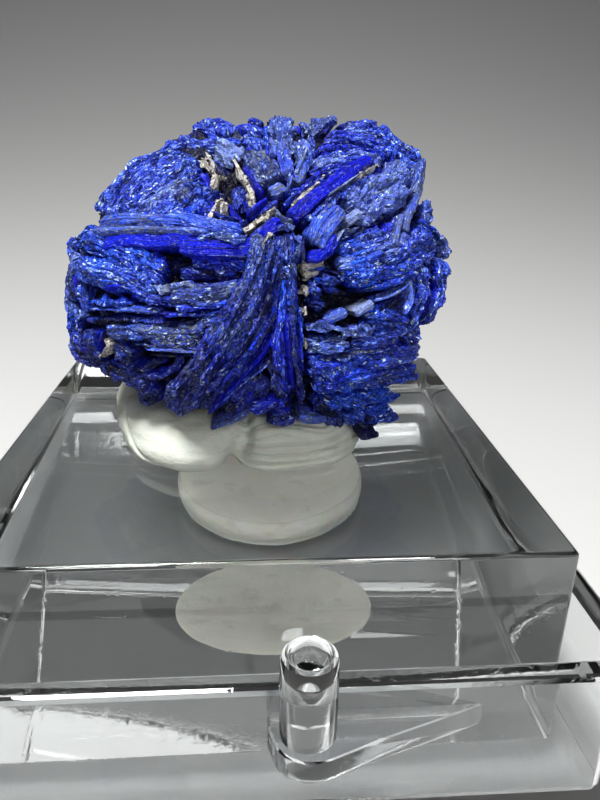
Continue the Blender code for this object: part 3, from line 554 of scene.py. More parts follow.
# The face's blades, fan by fan: profile, rim width, lift off the ball, finish, and then the points of the
# rim's line, each as across and up in tenths of a square.
FACE = [
    # upper left dome, its layers nested from the edge inwards, with a dusty patch on it
    (ROUND, 3.0, 0.0, DOME, -152, 49, -135, 71, -114, 92, -92, 106, -69, 117),
    (ROUND, 1.7, 0.0, DOME, -161, 55, -145, 78, -123, 99, -100, 114, -78, 125),
    (ROUND, 3.2, 0.0, DOME, -138, 50, -119, 70, -95, 88, -72, 102, -60, 109),
    (ROUND, 3.2, 0.2, PEARL, -128, 49, -107, 69, -82, 87, -58, 102),
    (ROUND, 3.2, 0.3, DOME, -109, 50, -86, 64, -66, 79, -54, 92),
    (ROUND, 1.5, 0.8, DUSTY, -84, 69, -77, 76, -69, 83),
    (ROUND, 2.6, 0.2, VIVID, -82, 52, -66, 60, -54, 74),
    (FLAT, 1.8, -0.6, GLASSY, -62, 96, -58, 76, -57, 54),
    # satin band along the dome's foot, its dusty lip, and the vivid blades that overhang the dark gap
    (ROUND, 1.9, 0.5, SATIN, -162, 45, -122, 52, -78, 51, -44, 44, -16, 37),
    (ROUND, 1.0, 0.8, SLATE, -166, 37, -126, 41, -86, 41, -52, 37),
    (FLAT, 1.3, 0.6, GLASSY, -156, 27, -124, 30, -94, 31, -68, 31),
    (FLAT, 0.8, 1.1, FROST, -64, 33, -40, 33, -14, 30),
    (FLAT, 1.5, 0.9, GLASSY, -86, 25, -56, 24, -26, 23.5, 1, 23),
    (SHARP, 0.3, 0.8, SLATE, -56, 15, -30, 14, -6, 13),
    (FLAT, 1.2, -0.1, VIVID, -74, 7, -46, 8, -24, 8, -9, 7),
    (ROUND, 1.2, -0.4, NAVY, -84, -3, -50, -3, -16, -2),
    # clump at the top left, the sparkling lumps below it, and the hollow with its matrix veins
    (FLAT, 2.2, 0.2, AZURE, -64, 138, -48, 139, -28, 132),
    (ROUND, 1.7, 0.2, VIVID, -24, 136, -10, 138, 2, 134),
    (ROUND, 1.7, 0.0, DOME, -20, 126, -6, 127, 4, 120),
    (ROUND, 2.2, -0.5, DOME, -74, 125, -56, 124, -36, 126, -18, 124),
    (FLAT, 2.2, -0.3, RIME, -48, 120, -34, 116, -21, 110),
    (SHARP, 0.65, -0.3, CREAM, -54, 116, -49, 106, -46, 94, -48, 79),
    (SHARP, 0.45, -0.4, CREAM, -60, 110, -54, 103, -49, 98),
    (ROUND, 0.8, -0.8, CREAM, -40, 94, -38, 93, -35, 92),
    (SHARP, 0.45, -0.2, CREAM, -28, 112, -19, 96, -12, 84, -7, 70),
    (SHARP, 0.7, -0.4, CREAM, -12, 82, -8, 72, -6, 62),
    (ROUND, 1.1, -0.9, CREAM, -46, 72, -41, 71, -36, 72),
    (SHARP, 0.30, -0.2, CREAM, -42, 72, -46, 60, -51, 48),
    (SHARP, 0.25, -0.2, CREAM, -37, 71, -39, 58, -39, 46),
    (SHARP, 0.8, -1.0, GLASSY, -44, 61, -43, 54, -42, 47),
    (SHARP, 1.3, -2.0, NAVY, -52, 86, -50, 72, -54, 56),
    (SHARP, 1.3, -1.0, GLASSY, -33, 70, -29, 56, -25, 44),
    (FLAT, 1.7, -1.2, NAVY, -25, 85, -18, 71, -14, 57),
    (SHARP, 1.0, 0.2, GLASSY, -17, 107, -8, 93, 4, 77),
    # plates at the top: left neighbours, the block with a blunt head, and the rough diamond face
    (SHARP, 0.9, 0.1, NAVY, 9, 146, 10, 134, 12, 122),
    (SHARP, 0.8, 0.5, VIVID, 5, 138, 8, 126, 13, 112),
    (FLAT, 2.2, 0.8, FROST, 21, 150, 21, 140, 22, 127, 26, 112),
    (FLAT, 1.2, 0.9, SATIN, 22, 124, 25, 110, 30, 96),
    (FLAT, 2.5, 0.0, SUGAR, -10, 120, 3, 106, 12, 88),
    (FLAT, 1.7, 0.5, FROST, 36, 130, 42, 118, 42, 104),
    (SHARP, 0.9, 0.6, GLASSY, 27, 106, 32, 97, 35, 90),
    (FLAT, 1.0, 0.6, SLATE, 46, 109, 40, 96, 34, 88),
    (SHARP, 0.6, 0.5, VIVID, 23, 65, 40, 80, 54, 90),
    (SHARP, 0.5, 0.7, SLATE, 24, 104, 31, 92, 28, 80),
    (SHARP, 0.28, 0.8, ICE, 35, 94, 42, 108, 46, 122),
    # thin plates just left of the heart
    (SHARP, 1.1, 0.5, GLASSY, -14, 53, -2, 64, 9, 74),
    (SHARP, 0.8, 0.4, NAVY, -4, 52, 7, 61, 17, 70),
    (SHARP, 0.24, 0.4, CREAM, -18, 37, 2, 52, 16, 65),
    (SHARP, 0.6, 0.4, VIVID, -23, 43, -18, 47, -13, 51),
    (FLAT, 0.8, 0.5, NAVY, -11, 30, 4, 43, 12, 55),
    (FLAT, 1.1, 0.9, GLASSY, 2, 31, 12, 43, 21, 52),
    (SHARP, 0.7, 0.7, ICE, 15, 62, 22, 54, 36, 50),
    (FLAT, 1.1, -0.1, SLATE, 9, 77, 16, 81, 25, 86),
    (SHARP, 0.55, 1.3, CREAM, -1, 20, 6, 30, 12, 39),
    # top right, rough lumps and arched layers
    (ROUND, 2.0, 0.2, FROST, 46, 134, 58, 143, 72, 142),
    (ROUND, 1.5, 0.0, DOME, 70, 138, 94, 139, 118, 131, 138, 118, 153, 104),
    (ROUND, 1.3, 0.2, VIVID, 68, 132, 93, 129, 116, 120, 136, 106, 148, 94),
    (ROUND, 1.3, 0.3, AZURE, 62, 125, 86, 125, 109, 118, 130, 107, 146, 92),
    (ROUND, 1.2, 0.3, VIVID, 56, 116, 78, 119, 101, 116, 124, 106),
    (ROUND, 1.3, 0.3, PEARL, 52, 104, 74, 111, 97, 111, 118, 104),
    (ROUND, 1.2, 0.2, VIVID, 48, 94, 68, 102, 90, 106),
    (ROUND, 1.3, 0.2, PEARL, 56, 100, 72, 104, 88, 109),
    (ROUND, 1.4, 0.1, VIVID, 26, 74, 44, 84, 64, 96),
    (SHARP, 0.55, -0.1, CREAM, 47, 82, 56, 88, 65, 95),
    (SHARP, 0.30, 0.9, CREAM, 30, 62, 43, 75, 60, 88),
    # long diagonal blades from the heart to the upper right, the rough mass that they run into
    (FLAT, 1.2, 1.0, GLASSY, 32, 52, 55, 73, 84, 95, 113, 113),
    (SHARP, 0.35, 1.0, ICE, 68, 74, 86, 87, 106, 99),
    (SHARP, 1.0, 0.7, NAVY, 39, 48, 62, 65, 88, 84),
    (SHARP, 0.7, 0.6, AZURE, 47, 48, 64, 64, 86, 79, 108, 92),
    (SHARP, 0.45, 0.6, CREAM, 94, 89, 104, 96, 114, 102),
    (FLAT, 1.9, 1.0, SATIN, 52, 26, 61, 39, 72, 53, 83, 65),
    (FLAT, 1.1, 0.6, GLASSY, 47, 15, 60, 14, 70, 22, 78, 38),
    (FLAT, 1.0, 0.5, ICE, 85, 48, 93, 53, 102, 59),
    (SHARP, 0.7, 0.2, SLATE, 85, 43, 92, 40, 101, 44),
    (SHARP, 0.6, 0.5, ICE, 76, 26, 81, 36, 85, 42),
    (ROUND, 2.6, 0.5, PEARL, 86, 64, 110, 79, 132, 92, 146, 100),
    (ROUND, 2.4, 0.3, PEARL, 94, 59, 118, 66, 146, 78),
    (SHARP, 1.0, -0.8, NAVY, 104, 47, 124, 54, 144, 60),
    # blades of the hollow beneath it, and the grey upright plates
    (SHARP, 0.9, -0.6, GLASSY, 106, 18, 112, 32, 116, 48),
    (SHARP, 0.9, -0.1, VIVID, 123, 26, 129, 39, 134, 52),
    (SHARP, 0.6, 0.0, FROST, 120, 26, 124, 30, 128, 36),
    (SHARP, 0.8, -0.4, NAVY, 94, 22, 100, 34, 104, 46),
    (FLAT, 0.6, 0.8, SLATE, 133, 24, 136, 38, 139, 56),
    (FLAT, 0.7, 0.8, SLATE, 142, 38, 145, 52, 149, 64, 152, 74),
    (FLAT, 1.1, 0.8, SLATE, 154, 106, 154, 90, 151, 70),
    (ROUND, 1.6, 0.1, FROST, 160, 68, 164, 56, 166, 44),
    # azure bundle that spreads from below the heart to the right edge
    (ROUND, 2.1, 0.4, AZURE, 134, 13, 150, 26, 170, 36),
    (ROUND, 2.2, 0.1, DOME, 80, 14, 104, 24, 130, 30),
    (ROUND, 2.3, 0.3, PEARL, 78, 0, 104, 9, 130, 20, 150, 30),
    (ROUND, 2.2, 0.4, DOME, 86, -7, 112, 1, 138, 12, 158, 20),
    (ROUND, 1.7, 0.4, AZURE, 86, -11, 114, -8, 140, 2, 160, 10),
    (ROUND, 1.0, 0.2, VIVID, 110, -18, 128, -14, 144, -8, 156, 0),
    (ROUND, 2.2, -0.1, AZURE, 144, 6, 158, 15, 171, 20),
    (ROUND, 1.5, 0.2, FROST, 169, 32, 176, 22, 179, 9),
    (ROUND, 1.8, 0.0, AZURE, 156, 50, 164, 40, 171, 28),
    # streaked layers that run down the right edge
    (ROUND, 2.1, 0.1, AZURE, 172, 12, 175, -10, 171, -33, 159, -56),
    (ROUND, 1.6, 0.2, DOME, 156, 6, 161, -16, 156, -40, 146, -62),
    (SHARP, 0.8, 0.3, SLATE, 147, -6, 148, -26, 142, -46),
    # matrix and broken ends in the recess under the heart, and the pale plates in the cave
    (FLAT, 1.2, -0.6, CREAM, 42, -3, 52, 1, 66, 8),
    (SHARP, 1.3, 0.0, NAVY, 60, -9, 72, -10, 84, -14),
    (SHARP, 0.7, -0.3, AZURE, 47, -25, 54, -16, 62, -6),
    (SHARP, 0.9, -0.4, NAVY, 50, -12, 55, -20, 64, -26),
    (ROUND, 0.9, 0.0, CREAM, 42, -18, 44, -22, 45, -26),
    (ROUND, 0.6, 0.0, CREAM, 44, -38, 45, -41, 45, -45),
    (ROUND, 0.7, 0.2, CREAM, 44, -71, 45, -75, 45, -79),
    (SHARP, 1.2, -0.8, NAVY, 48, -34, 56, -34, 66, -36),
    (FLAT, 0.8, 0.1, ICE, 94, -45, 104, -39, 114, -33),
    (FLAT, 0.9, -0.3, SLATE, 66, -54, 78, -48, 88, -42),
    (SHARP, 0.6, 0.2, SLATE, 114, -31, 133, -24, 148, -12),
    (ROUND, 1.2, -0.2, NAVY, 116, -42, 132, -36, 144, -28),
    # right lower fan: flat layers stacked below the dark cave
    (ROUND, 1.4, 0.1, DOME, 106, -49, 126, -46, 144, -44),
    (SHARP, 0.45, 0.4, FROST, 46, -60, 64, -58, 84, -61),
    (SHARP, 0.45, 0.4, FROST, 80, -63, 98, -62, 116, -58),
    (ROUND, 1.2, 0.2, ROUGH, 110, -59, 130, -56, 148, -53),
    (FLAT, 1.4, 0.3, FROST, 46, -78, 68, -77, 90, -74),
    (FLAT, 1.3, 0.2, ROUGH, 86, -76, 116, -70, 144, -65, 155, -62),
    (SHARP, 0.9, 0.3, DUSTY, 60, -87, 90, -84, 124, -78),
    (ROUND, 2.2, 0.3, AZURE, 46, -99, 76, -96, 116, -90, 156, -80),
    (ROUND, 2.2, 0.1, ROUGH, 52, -115, 82, -112, 119, -107, 154, -99),
    (ROUND, 1.4, 0.6, VIVID, 62, -120, 86, -109, 126, -98),
    (ROUND, 1.8, 0.4, AZURE, 64, -132, 96, -129, 135, -119),
    (ROUND, 2.2, 0.8, ROUGH, 78, -145, 104, -145, 131, -136),
    (ROUND, 1.8, 0.9, NAVY, 94, -158, 104, -159, 114, -156),
    # upright thin plates below the heart
    (SHARP, 1.2, 1.2, VIVID, 25, -8, 22, -46, 20, -84, 25, -108, 29, -126),
    (SHARP, 0.7, 1.3, GLASSY, 28, -44, 29, -84, 33, -120),
    (SHARP, 1.0, 1.4, BARK, 31, 10, 33, -30, 35, -70, 38, -112),
    (SHARP, 0.6, 1.0, VIVID, 40, -36, 41, -70, 42, -102),
    (SHARP, 0.8, 0.7, NAVY, 37, -96, 39, -114, 41, -132),
    (FLAT, 1.1, 0.4, NAVY, 13, -74, 16, -104, 22, -130),
    # knob of blade ends at the heart, and the big diagonal bar with its parallel ridges
    (ROUND, 2.3, 1.3, BARK, 29, 41, 28, 22, 27, 4),
    (SHARP, 0.7, 1.7, FROST, 36, 37, 39, 26, 37, 14),
    (SHARP, 0.5, 1.6, FROST, 17, 42, 26, 45, 35, 41),
    (FLAT, 1.0, 1.3, FROST, 25, 7, 30, 1, 34, -9),
    (FLAT, 2.9, 1.3, BARK, 12, 36, 2, 2, -15, -39, -40, -78, -70, -116, -86, -138),
    (SHARP, 0.8, 1.8, BARK, 5, 30, -7, -6, -24, -42, -49, -79, -76, -112, -92, -130),
    (SHARP, 0.9, 1.9, BARK, 14, 28, 5, -8, -13, -46, -39, -84, -66, -118, -82, -138),
    (SHARP, 0.8, 1.7, NAVY, 19, 18, 11, -20, -6, -58, -32, -95, -60, -130),
    (ROUND, 1.4, 1.1, BARK, 22, 12, 15, -26, -4, -68, -32, -106, -62, -140),
    (SHARP, 0.5, 1.5, VIVID, 16, -34, 2, -62, -20, -92, -46, -122),
    (SHARP, 1.0, 0.9, GLASSY, 14, -66, -6, -94, -30, -120, -52, -142),
    (SHARP, 0.5, 0.8, SATIN, 8, -94, -16, -112, -46, -136),
    (FLAT, 2.4, 0.0, NAVY, 6, -108, -14, -124, -34, -140),
    # foot: a bright strip over low lumps
    (FLAT, 1.0, 1.1, VIVID, -9, -140, 8, -135, 24, -129),
    (SHARP, 0.9, 0.9, SLATE, -50, -153, -30, -148, -9, -141),
    (ROUND, 2.0, 0.4, BARK, 8, -145, 20, -147, 34, -146),
    (FLAT, 1.0, 0.7, SLATE, 36, -144, 52, -145, 64, -144),
    (ROUND, 2.2, 0.0, NAVY, 62, -126, 66, -140, 76, -152),
    # left rough mass that comes to a point on the right, with bright facets near its tip
    (ROUND, 3.0, 0.2, AZURE, -175, 31, -153, 23, -125, 5, -105, -12),
    (ROUND, 2.8, 0.4, DOME, -180, 4, -156, -4, -128, -12, -104, -22),
    (ROUND, 1.7, -0.1, DOME, -182, 11, -180, 26, -164, 41),
    (ROUND, 2.2, 0.2, FROST, -178, 16, -185, -8, -184, -28, -180, -46),
    (SHARP, 0.8, 0.4, ICE, -129, -3, -122, -6, -114, -10),
    (SHARP, 1.0, 0.3, GLASSY, -130, -28, -121, -21, -112, -14),
    (SHARP, 0.8, 0.4, GLASSY, -156, -18, -146, -16, -136, -16),
    (SHARP, 0.6, 0.9, ICE, -106, -14, -102, -20, -99, -26),
    (FLAT, 0.9, 0.7, AZURE, -114, -30, -100, -32, -88, -34),
    # left lower blades, side by side, turned up at their right ends
    (FLAT, 1.9, 0.5, SUGAR, -96, -23, -68, -26, -42, -26, -16, -19),
    (SHARP, 0.7, 0.8, VIVID, -90, -38, -64, -39, -42, -36, -24, -28),
    (FLAT, 0.9, 0.9, AZURE, -30, -23, -20, -21, -12, -22),
    (SHARP, 0.7, 0.5, AZURE, -166, -31, -146, -32, -128, -33),
    (SHARP, 0.7, 0.5, SATIN, -168, -38, -135, -40, -102, -42),
    (SHARP, 0.7, 0.5, VIVID, -104, -43, -75, -45, -50, -44, -24, -36),
    (SHARP, 0.7, 0.3, NAVY, -169, -47, -130, -49, -96, -52),
    (FLAT, 1.3, 0.4, SUGAR, -152, -62, -110, -64, -80, -63, -54, -56, -38, -46),
    (FLAT, 1.4, 0.5, DUSTY, -122, -72, -90, -75, -65, -74, -46, -65),
    (SHARP, 0.6, 0.8, SATIN, -116, -78, -86, -80, -60, -81, -45, -73),
    # lower left knobs, and the ragged foot below them
    (ROUND, 2.4, 0.0, NAVY, -181, -62, -171, -82, -154, -94),
    (ROUND, 2.0, 0.0, NAVY, -150, -92, -132, -103, -120, -114),
    (ROUND, 2.4, 0.0, ROUGH, -179, -36, -180, -60, -172, -80),
    (ROUND, 2.4, 0.4, NAVY, -168, -60, -164, -76, -154, -90),
    (FLAT, 2.0, 0.5, NAVY, -144, -77, -135, -82, -126, -89),
    (ROUND, 1.8, 0.5, NAVY, -154, -94, -144, -100, -134, -104),
    (ROUND, 2.0, 0.2, NAVY, -134, -106, -122, -110, -112, -112),
    (SHARP, 0.8, 0.5, NAVY, -120, -103, -100, -106, -86, -98, -84, -83),
    (FLAT, 0.9, -0.2, NAVY, -114, -97, -106, -94, -100, -90),
    (ROUND, 2.0, 0.1, NAVY, -120, -120, -112, -124, -102, -124),
    (SHARP, 0.45, 0.6, CREAM, -152, -66, -148, -74, -156, -86),
    (FLAT, 0.6, 0.5, FROST, -180, -41, -177, -44, -174, -48),
]

# The sides and the back.
BALL_PLACES = 32  # evenly spread on the ball, with a fan at each that isn't on the face
BACK_LEVEL = 0.12  # a place that stands out further than this, in ball radii, is on the face
BACK_SHARE = 0.95  # the ball that the fans lie on, as a share of the face's
FAN_BLADES = 3
FAN_STEP = 3.5
ARC_HALF = 0.52  # radians from a blade's middle to its end
DENTS = (2.5, 0.6, 0.11), (-1.62, 0.40, 0.06)  # angle round the face, width and share that the ball gives way
SEED = 7

AXES = look_axes(*FACE_LOOK)


def in_place(points):
    """From layout squares to metres in the object's frame."""
    return np.asarray(points) @ AXES * SQUARE + ROSETTE_AT


def out_of_sight(flat, out):
    """Face places raised by out, each along its own line to SIGHT."""
    base = np.concatenate([flat, np.zeros((*flat.shape[:-1], 1))], axis=-1)
    return base + (SIGHT - base) * (np.asarray(out) / SIGHT[2])[..., None]


def reach_of(flat):
    """How near the ball's edge a face place is: 0 in the middle, 1 at the edge."""
    return (((flat - BALL_CENTRE[:2]) / BALL_RADII[:2]) ** 2).sum(axis=-1)


def drawn_out(flat):
    """Face places, moved outwards more and more towards the ball's edge."""
    edge = np.minimum(reach_of(flat), 1.0)
    return BALL_CENTRE[:2] + (flat - BALL_CENTRE[:2]) * (1 + EDGE_OUT * edge**2)[..., None]


def ball_height(flat, lift):
    """How far the ball's surface stands out of the face's plane at these places."""
    full = np.clip(1 - reach_of(flat) ** (BALL_POWER / 2), 0.02, 1)
    return BALL_RADII[2] * full ** (1 / BALL_POWER) + lift


def on_ball(ways):
    """Places on the ball's surface in these directions."""
    level = np.hypot(ways[..., 0], ways[..., 1])
    size = (level**BALL_POWER + np.abs(ways[..., 2]) ** BALL_POWER) ** (1 / BALL_POWER)
    return ways / size[..., None] * BALL_RADII


def fullness(shares, length, blunt):
    """1 along the blade, dropping to this share over a short way at each end."""
    end = min(0.25, (1.3 - blunt) / length)
    near = np.clip(np.minimum(shares, 1 - shares) / end, 0, 1)
    return blunt + (1 - blunt) * np.sqrt(1 - (1 - near) ** 2)


def layers(along, across, deep, seed):
    """How far the blade's surface lies under its crown: split layers of random height that break off along
    their length. Also returns the fine grooves between them."""
    drift = noise(vectors(along * 0.22, across * 0.35), seed) * 1.1
    wander = noise(vectors(along * 0.9, across * 0.9), seed + 6) * 0.25
    count = across * LAYERS + drift + wander
    layer = np.floor(count)
    edge = np.abs(count - layer - 0.5) * 2
    breaks = along * BREAKS + scatter(layer[..., None], seed + 1) * 7
    piece = np.floor(breaks + 0.35 * noise(vectors(along * 1.3, across * 1.3), seed + 2))
    height = scatter(vectors(layer, piece), seed + 3)
    groove = ramp(edge, 0.78, 1.0)
    return deep * ((1 - height) * 0.8 + groove * 0.5), groove


def blade(surface, rim, profile, width, root, finish, seed, spacing=FINE_STEP, wall=BLADE_DEPTH):
    """The profile carried along the rim, with its surface cut into layers, shingles and chips.

    Each rim point has an outward direction from the root and a sideways one across the rim, and wanders a
    little along both. A point of the profile (x, y) stands at rim + sideways * x * half the width - outward *
    y * wall, each strip of it ends a little sooner or later than the next, and it is then sunk along its own
    normal. Walls get painted shade and a plainer finish with their depth, except where they lie open at the
    ball's edge; the grooves between layers get painted shade on the crown and on open walls."""
    blunt, outline = profile
    vivid, pale, dust, matrix, deep = finish
    length = max(steps_of(rim).sum(), 1.0)
    shares = np.linspace(0, 1, max(8, int(length / spacing)))
    around = np.linspace(-1, 1, max(12, int((width + WALL_ROWS * wall) / spacing)))
    section = smooth_line(outline, 0.5 + 0.5 * np.sign(around) * np.abs(around) ** CROWN_ROWS)
    x, y = section[:, 0, None], section[:, 1, None]
    steps = steps_of(section * (width / 2, wall))
    run = np.concatenate([[0], np.cumsum(steps)]) - steps.sum() / 2
    strip = noise(run[:, None] * 0.9, seed + 20) * 0.6 + noise(run[:, None] * 2.3, seed + 21) * 0.4
    short = np.clip(0.5 + 0.5 * strip, 0, 1) * min(RAGGED_END * (0.3 + 3 * deep) / length, 0.18)
    reach = 0.5 + (shares[:, None] - 0.5) * (1 - short)
    middle = smooth_line(rim, shares)
    outward = unit(middle - root)
    sideways = unit(np.cross(np.gradient(middle, axis=0), outward))
    wander = vectors(shares * length * 0.42, 0.5)
    stray = WANDER * min(max(width / 1.6, 0.2), 1)
    line = smooth_line(rim, reach)
    line = line + (sideways * noise(wander, seed + 23)[:, None] * stray)[:, None]
    line = line + (outward * noise(wander, seed + 24)[:, None] * stray)[:, None]
    full = fullness(shares, length, blunt)[:, None, None]
    uneven = 1 + 0.16 * rough(wander, seed + 22, 2)
    half = full * width / 2 * uneven[:, None, None]
    crown = line - outward[:, None] * (1 - full) * width / 2
    points = crown + sideways[:, None] * x * half - outward[:, None] * y * wall
    along, across = np.broadcast_arrays(reach * length, run)
    sunk, groove = layers(along, across, deep, seed)
    grit, _ = chips(vectors(along * CHIPS[0], across * CHIPS[1], 0), seed % 50)
    skewed = across + along * 0.25 * (seed % 5 - 2)
    shingle, tone = chips(vectors(along * SHINGLES[0], skewed * SHINGLES[1], 0), seed % 37)
    lumps = rough(vectors(along * LUMPS[0], across * LUMPS[1]), seed + 4, 2)
    sunk = sunk - deep * (grit * CHIP_HEIGHT + shingle * SHINGLE_HEIGHT + lumps * LUMP_HEIGHT)
    depth = np.broadcast_to(section[:, 1], along.shape)
    points = points - normals_of(points) * (sunk * (1 - ramp(depth, *BURIED)))[..., None]
    depth = depth * wall / BLADE_DEPTH
    exposed = ramp(reach_of(points[..., :2]), *BALL_EDGE) * (points[..., 2] > 0)
    lit = np.maximum(1 - ramp(depth, *PLAIN), exposed)
    # painted shade: deep walls darken unless open at the ball's edge, and the grooves between layers darken
    # where the finish shows
    gap = ramp(depth, *DARK) * (1 - exposed)
    gap = np.maximum(gap, groove * lit * min(deep * 3, 1))
    number = (seed % 97) / 97
    surface.grid(
        in_place(points)[:, ::-1],
        closed=True,
        cap=True,
        flow=vectors(along, across, number * 9)[:, ::-1],
        shade=vectors(gap, vivid + (1 - lit) * 0.4, pale * lit)[:, ::-1],
        crust=vectors(dust * lit, matrix, tone)[:, ::-1],
    )


def face_rim(line, lift, offset=0.0, start=0.0, end=1.0, swing=0.0):
    """A rim over the ball along the line, or along a line beside it, from this offset to offset + swing."""
    flat = smooth_line(line, np.linspace(start, end, 7))
    way = unit(np.gradient(flat, axis=0))
    flat = flat + np.column_stack([-way[:, 1], way[:, 0]]) * (offset + swing * np.linspace(0, 1, 7))[:, None]
    flat = drawn_out(flat)
    return out_of_sight(flat, ball_height(flat, lift))


def splinters(surface, line, width, lift, finish, seed, rng):
    """Short thin blades that stand on a broad one, nearly along it."""
    vivid, pale, dust = finish[:3]
    length = steps_of(line).sum()
    for k in range(int(length * SPLINTERS * min(width, 2.6) / 1.6 + rng.uniform())):
        share, start = rng.uniform(1.6, 4.2) / length, rng.uniform(0.02, 0.80)
        beside = rng.uniform(-0.40, 0.40) * width
        up = lift + rng.uniform(0.00, 0.22) - 0.9 * (beside / width) ** 2 * width
        rim = face_rim(line, up, beside, start, min(start + share, 0.98), rng.uniform(-0.5, 0.5))
        if reach_of(rim[:, :2]).max() > SPLINTERS_INSIDE:
            continue
        looks = vivid + rng.uniform(-0.3, 0.3), pale * rng.uniform(0.2, 1.2), dust * rng.uniform(0.2, 1)
        profile = (SHARP, ROUND)[k % 2]
        thickness = rng.uniform(0.35, 0.85)
        blade(surface, rim, profile, thickness, ROOT, (*looks, 0.0, 0.10), seed + k, SPLINTER_STEP, 2.0)


def line_of(row):
    """The rim's line of a row of FACE, in squares."""
    return np.reshape(row[4:], (-1, 2)) / 10


def face_surface(name, rows, first_seed, material):
    """Blades of the face, each with splinters on it and thin lower plates at both sides that fill the gap to
    its neighbours."""
    surface = Surface(name)
    rng = np.random.default_rng(first_seed)
    for i, row in enumerate(rows):
        profile, width, lift, finish = row[:4]
        line, seed = line_of(row), first_seed + i * 11
        blade(surface, face_rim(line, lift), profile, width, ROOT, finish, seed)
        if finish[4] > 0.10 and width > 1.0:
            splinters(surface, line, width, lift, finish, seed + 3, rng)
        if width < 1.3:
            continue
        for side in (-1, 1):
            start, end = rng.uniform(0.0, 0.15), rng.uniform(0.85, 1.0)
            beside = side * (width / 2 + rng.uniform(0.10, 0.35))
            rim = face_rim(line, lift - rng.uniform(0.5, 1.1), beside, start, end)
            thickness = rng.uniform(0.45, 0.75)
            if reach_of(rim[:, :2]).max() > PLATES_INSIDE:
                continue
            plate = (finish[0] * 0.8, finish[1] * 0.7, finish[2], 0.0, 0.08)
            blade(surface, rim, SHARP, thickness, ROOT, plate, seed + 5 + side, PLATE_STEP)
    return surface.finish(material, SHARP_FACET)


def back_surface(name, material):
    """The sides and the back: fans at evenly spread places on the ball, each turned by a seeded angle."""
    surface = Surface(name)
    rng = np.random.default_rng(SEED)
    finishes = (ROUGH, VIVID, NAVY, DUSTY, BARK)
    golden = math.pi * (3 - math.sqrt(5))
    arc = np.linspace(-1, 1, 7) * ARC_HALF
    for i in range(BALL_PLACES):
        out = 1 - (2 * i + 1) / BALL_PLACES
        turn, lean, size = rng.uniform(0, math.pi), rng.uniform(-0.2, 0.2), rng.uniform(0.93, 1.0)
        if out > BACK_LEVEL:
            continue
        around = math.sqrt(1 - out * out)
        middle = np.array([around * math.cos(golden * i), around * math.sin(golden * i), out])
        first = unit(np.cross(middle, (0.3, 0.2, 1.0)))
        along = math.cos(turn) * first + math.sin(turn) * np.cross(middle, first)
        across = np.cross(middle, along)
        for k in range(FAN_BLADES):
            shift = (k - (FAN_BLADES - 1) / 2) * FAN_STEP / BALL_RADII.mean()
            start = middle + across * shift
            path = np.cos(arc)[:, None] * start + np.sin(arc + lean * arc * arc)[:, None] * along
            angle = np.arctan2(path[:, 1], path[:, 0])
            dent = 1.0
            for at, wide, share in DENTS:
                dent = dent - share * bump_over(angle, at, wide)
            rim = BALL_CENTRE + on_ball(path) * dent[:, None] * BACK_SHARE * size * rng.uniform(0.96, 1.0)
            profile = (ROUND, SHARP)[int(rng.integers(2))]
            width = FAN_STEP * rng.uniform(0.9, 1.15)
            seed = 900 + i * 7 + k
            blade(surface, rim, profile, width, BALL_CENTRE, finishes[(i + k) % 5], seed, BACK_STEP)
    return surface.finish(material, SHARP_FACET)


def core_surface(name, material):
    """The mass that the blades grow from: the ball made smaller, with a rough broken surface, painted nearly
    black as painted shade.
    """
    rise, turn = np.meshgrid(np.linspace(-1, 1, 120), circle(240), indexing="ij")
    rise = np.sin(rise * math.pi / 2 * 0.999)
    level = np.sqrt(1 - rise**2)
    ways = vectors(level * np.cos(turn), level * np.sin(turn), rise)
    grain = rough(ways * 14, 77, 3)
    points = BALL_CENTRE + on_ball(ways) * CORE_SHARE * (1 + 0.05 * grain)[..., None]
    surface = Surface(name)
    surface.grid(
        in_place(points),
        closed=True,
        cap=True,
        flow=vectors(turn * 12, rise * 12, 0),
        # painted shade: the core is painted nearly black, as it shows deep between the blades
        shade=vectors(0.90, ramp(grain, -0.5, 0.8) * 0.7, 0.2),
        crust=vectors(ramp(grain, 0, 1) * 0.1, 0, ramp(grain, 0, 1)),
    )
    return surface.finish(material, SHARP_FACET)


def rosette():
    """Six pieces of one crystal: the face's blades by where they lie on it, the back and the core."""
    azurite = azurite_finish()
    dome, crest, left, right = [], [], [], []
    for row in FACE:
        across, up = line_of(row).mean(axis=0)
        if up > 3.0:
            (dome if across < -2.0 else crest).append(row)
        else:
            (left if across < 1.5 else right).append(row)
    pieces = [
        face_surface("rosette_dome_blades", dome, 100, azurite),
        face_surface("rosette_crest_blades", crest, 6100, azurite),
        face_surface("rosette_left_blades", left, 2100, azurite),
        face_surface("rosette_right_blades", right, 4100, azurite),
        back_surface("rosette_back_blades", azurite),
        core_surface("rosette_core", azurite),
    ]
    for piece in pieces:
        place(piece, "azurite_rosette", "azurite")


# Putty, pad, block and box -----------------------

PUTTY_EDGE = [
    (-0.0100, 0.0052), (-0.0098, 0.0020), (-0.0090, -0.0014), (-0.0076, -0.0046), (-0.0054, -0.0067),
    (-0.0032, -0.0070), (-0.0012, -0.0062), (0.0012, -0.0069), (0.0040, -0.0064), (0.0061, -0.0046),
    (0.0071, -0.0014), (0.0070, 0.0020), (0.0052, 0.0052), (0.0015, 0.0072), (-0.0030, 0.0078),
    (-0.0072, 0.0072),
]
PUTTY_MIDDLE = np.array([-0.0014, 0.0008])
PUTTY_HEIGHT = 0.0031
PUTTY_SIDE = [
    (0.90, -0.02), (0.975, 0.06), (1.0, 0.24), (0.985, 0.46),
    (0.93, 0.70), (0.80, 0.89), (0.55, 0.98), (0.02, 1.0),
]
PINCH_AT = -1.56  # radians round the middle, where the two lobes meet at the front
SWIRL_AT = -2.4  # and where the left lobe's swirl and crease are
PUTTY_COLUMNS, PUTTY_ROWS = 560, 130


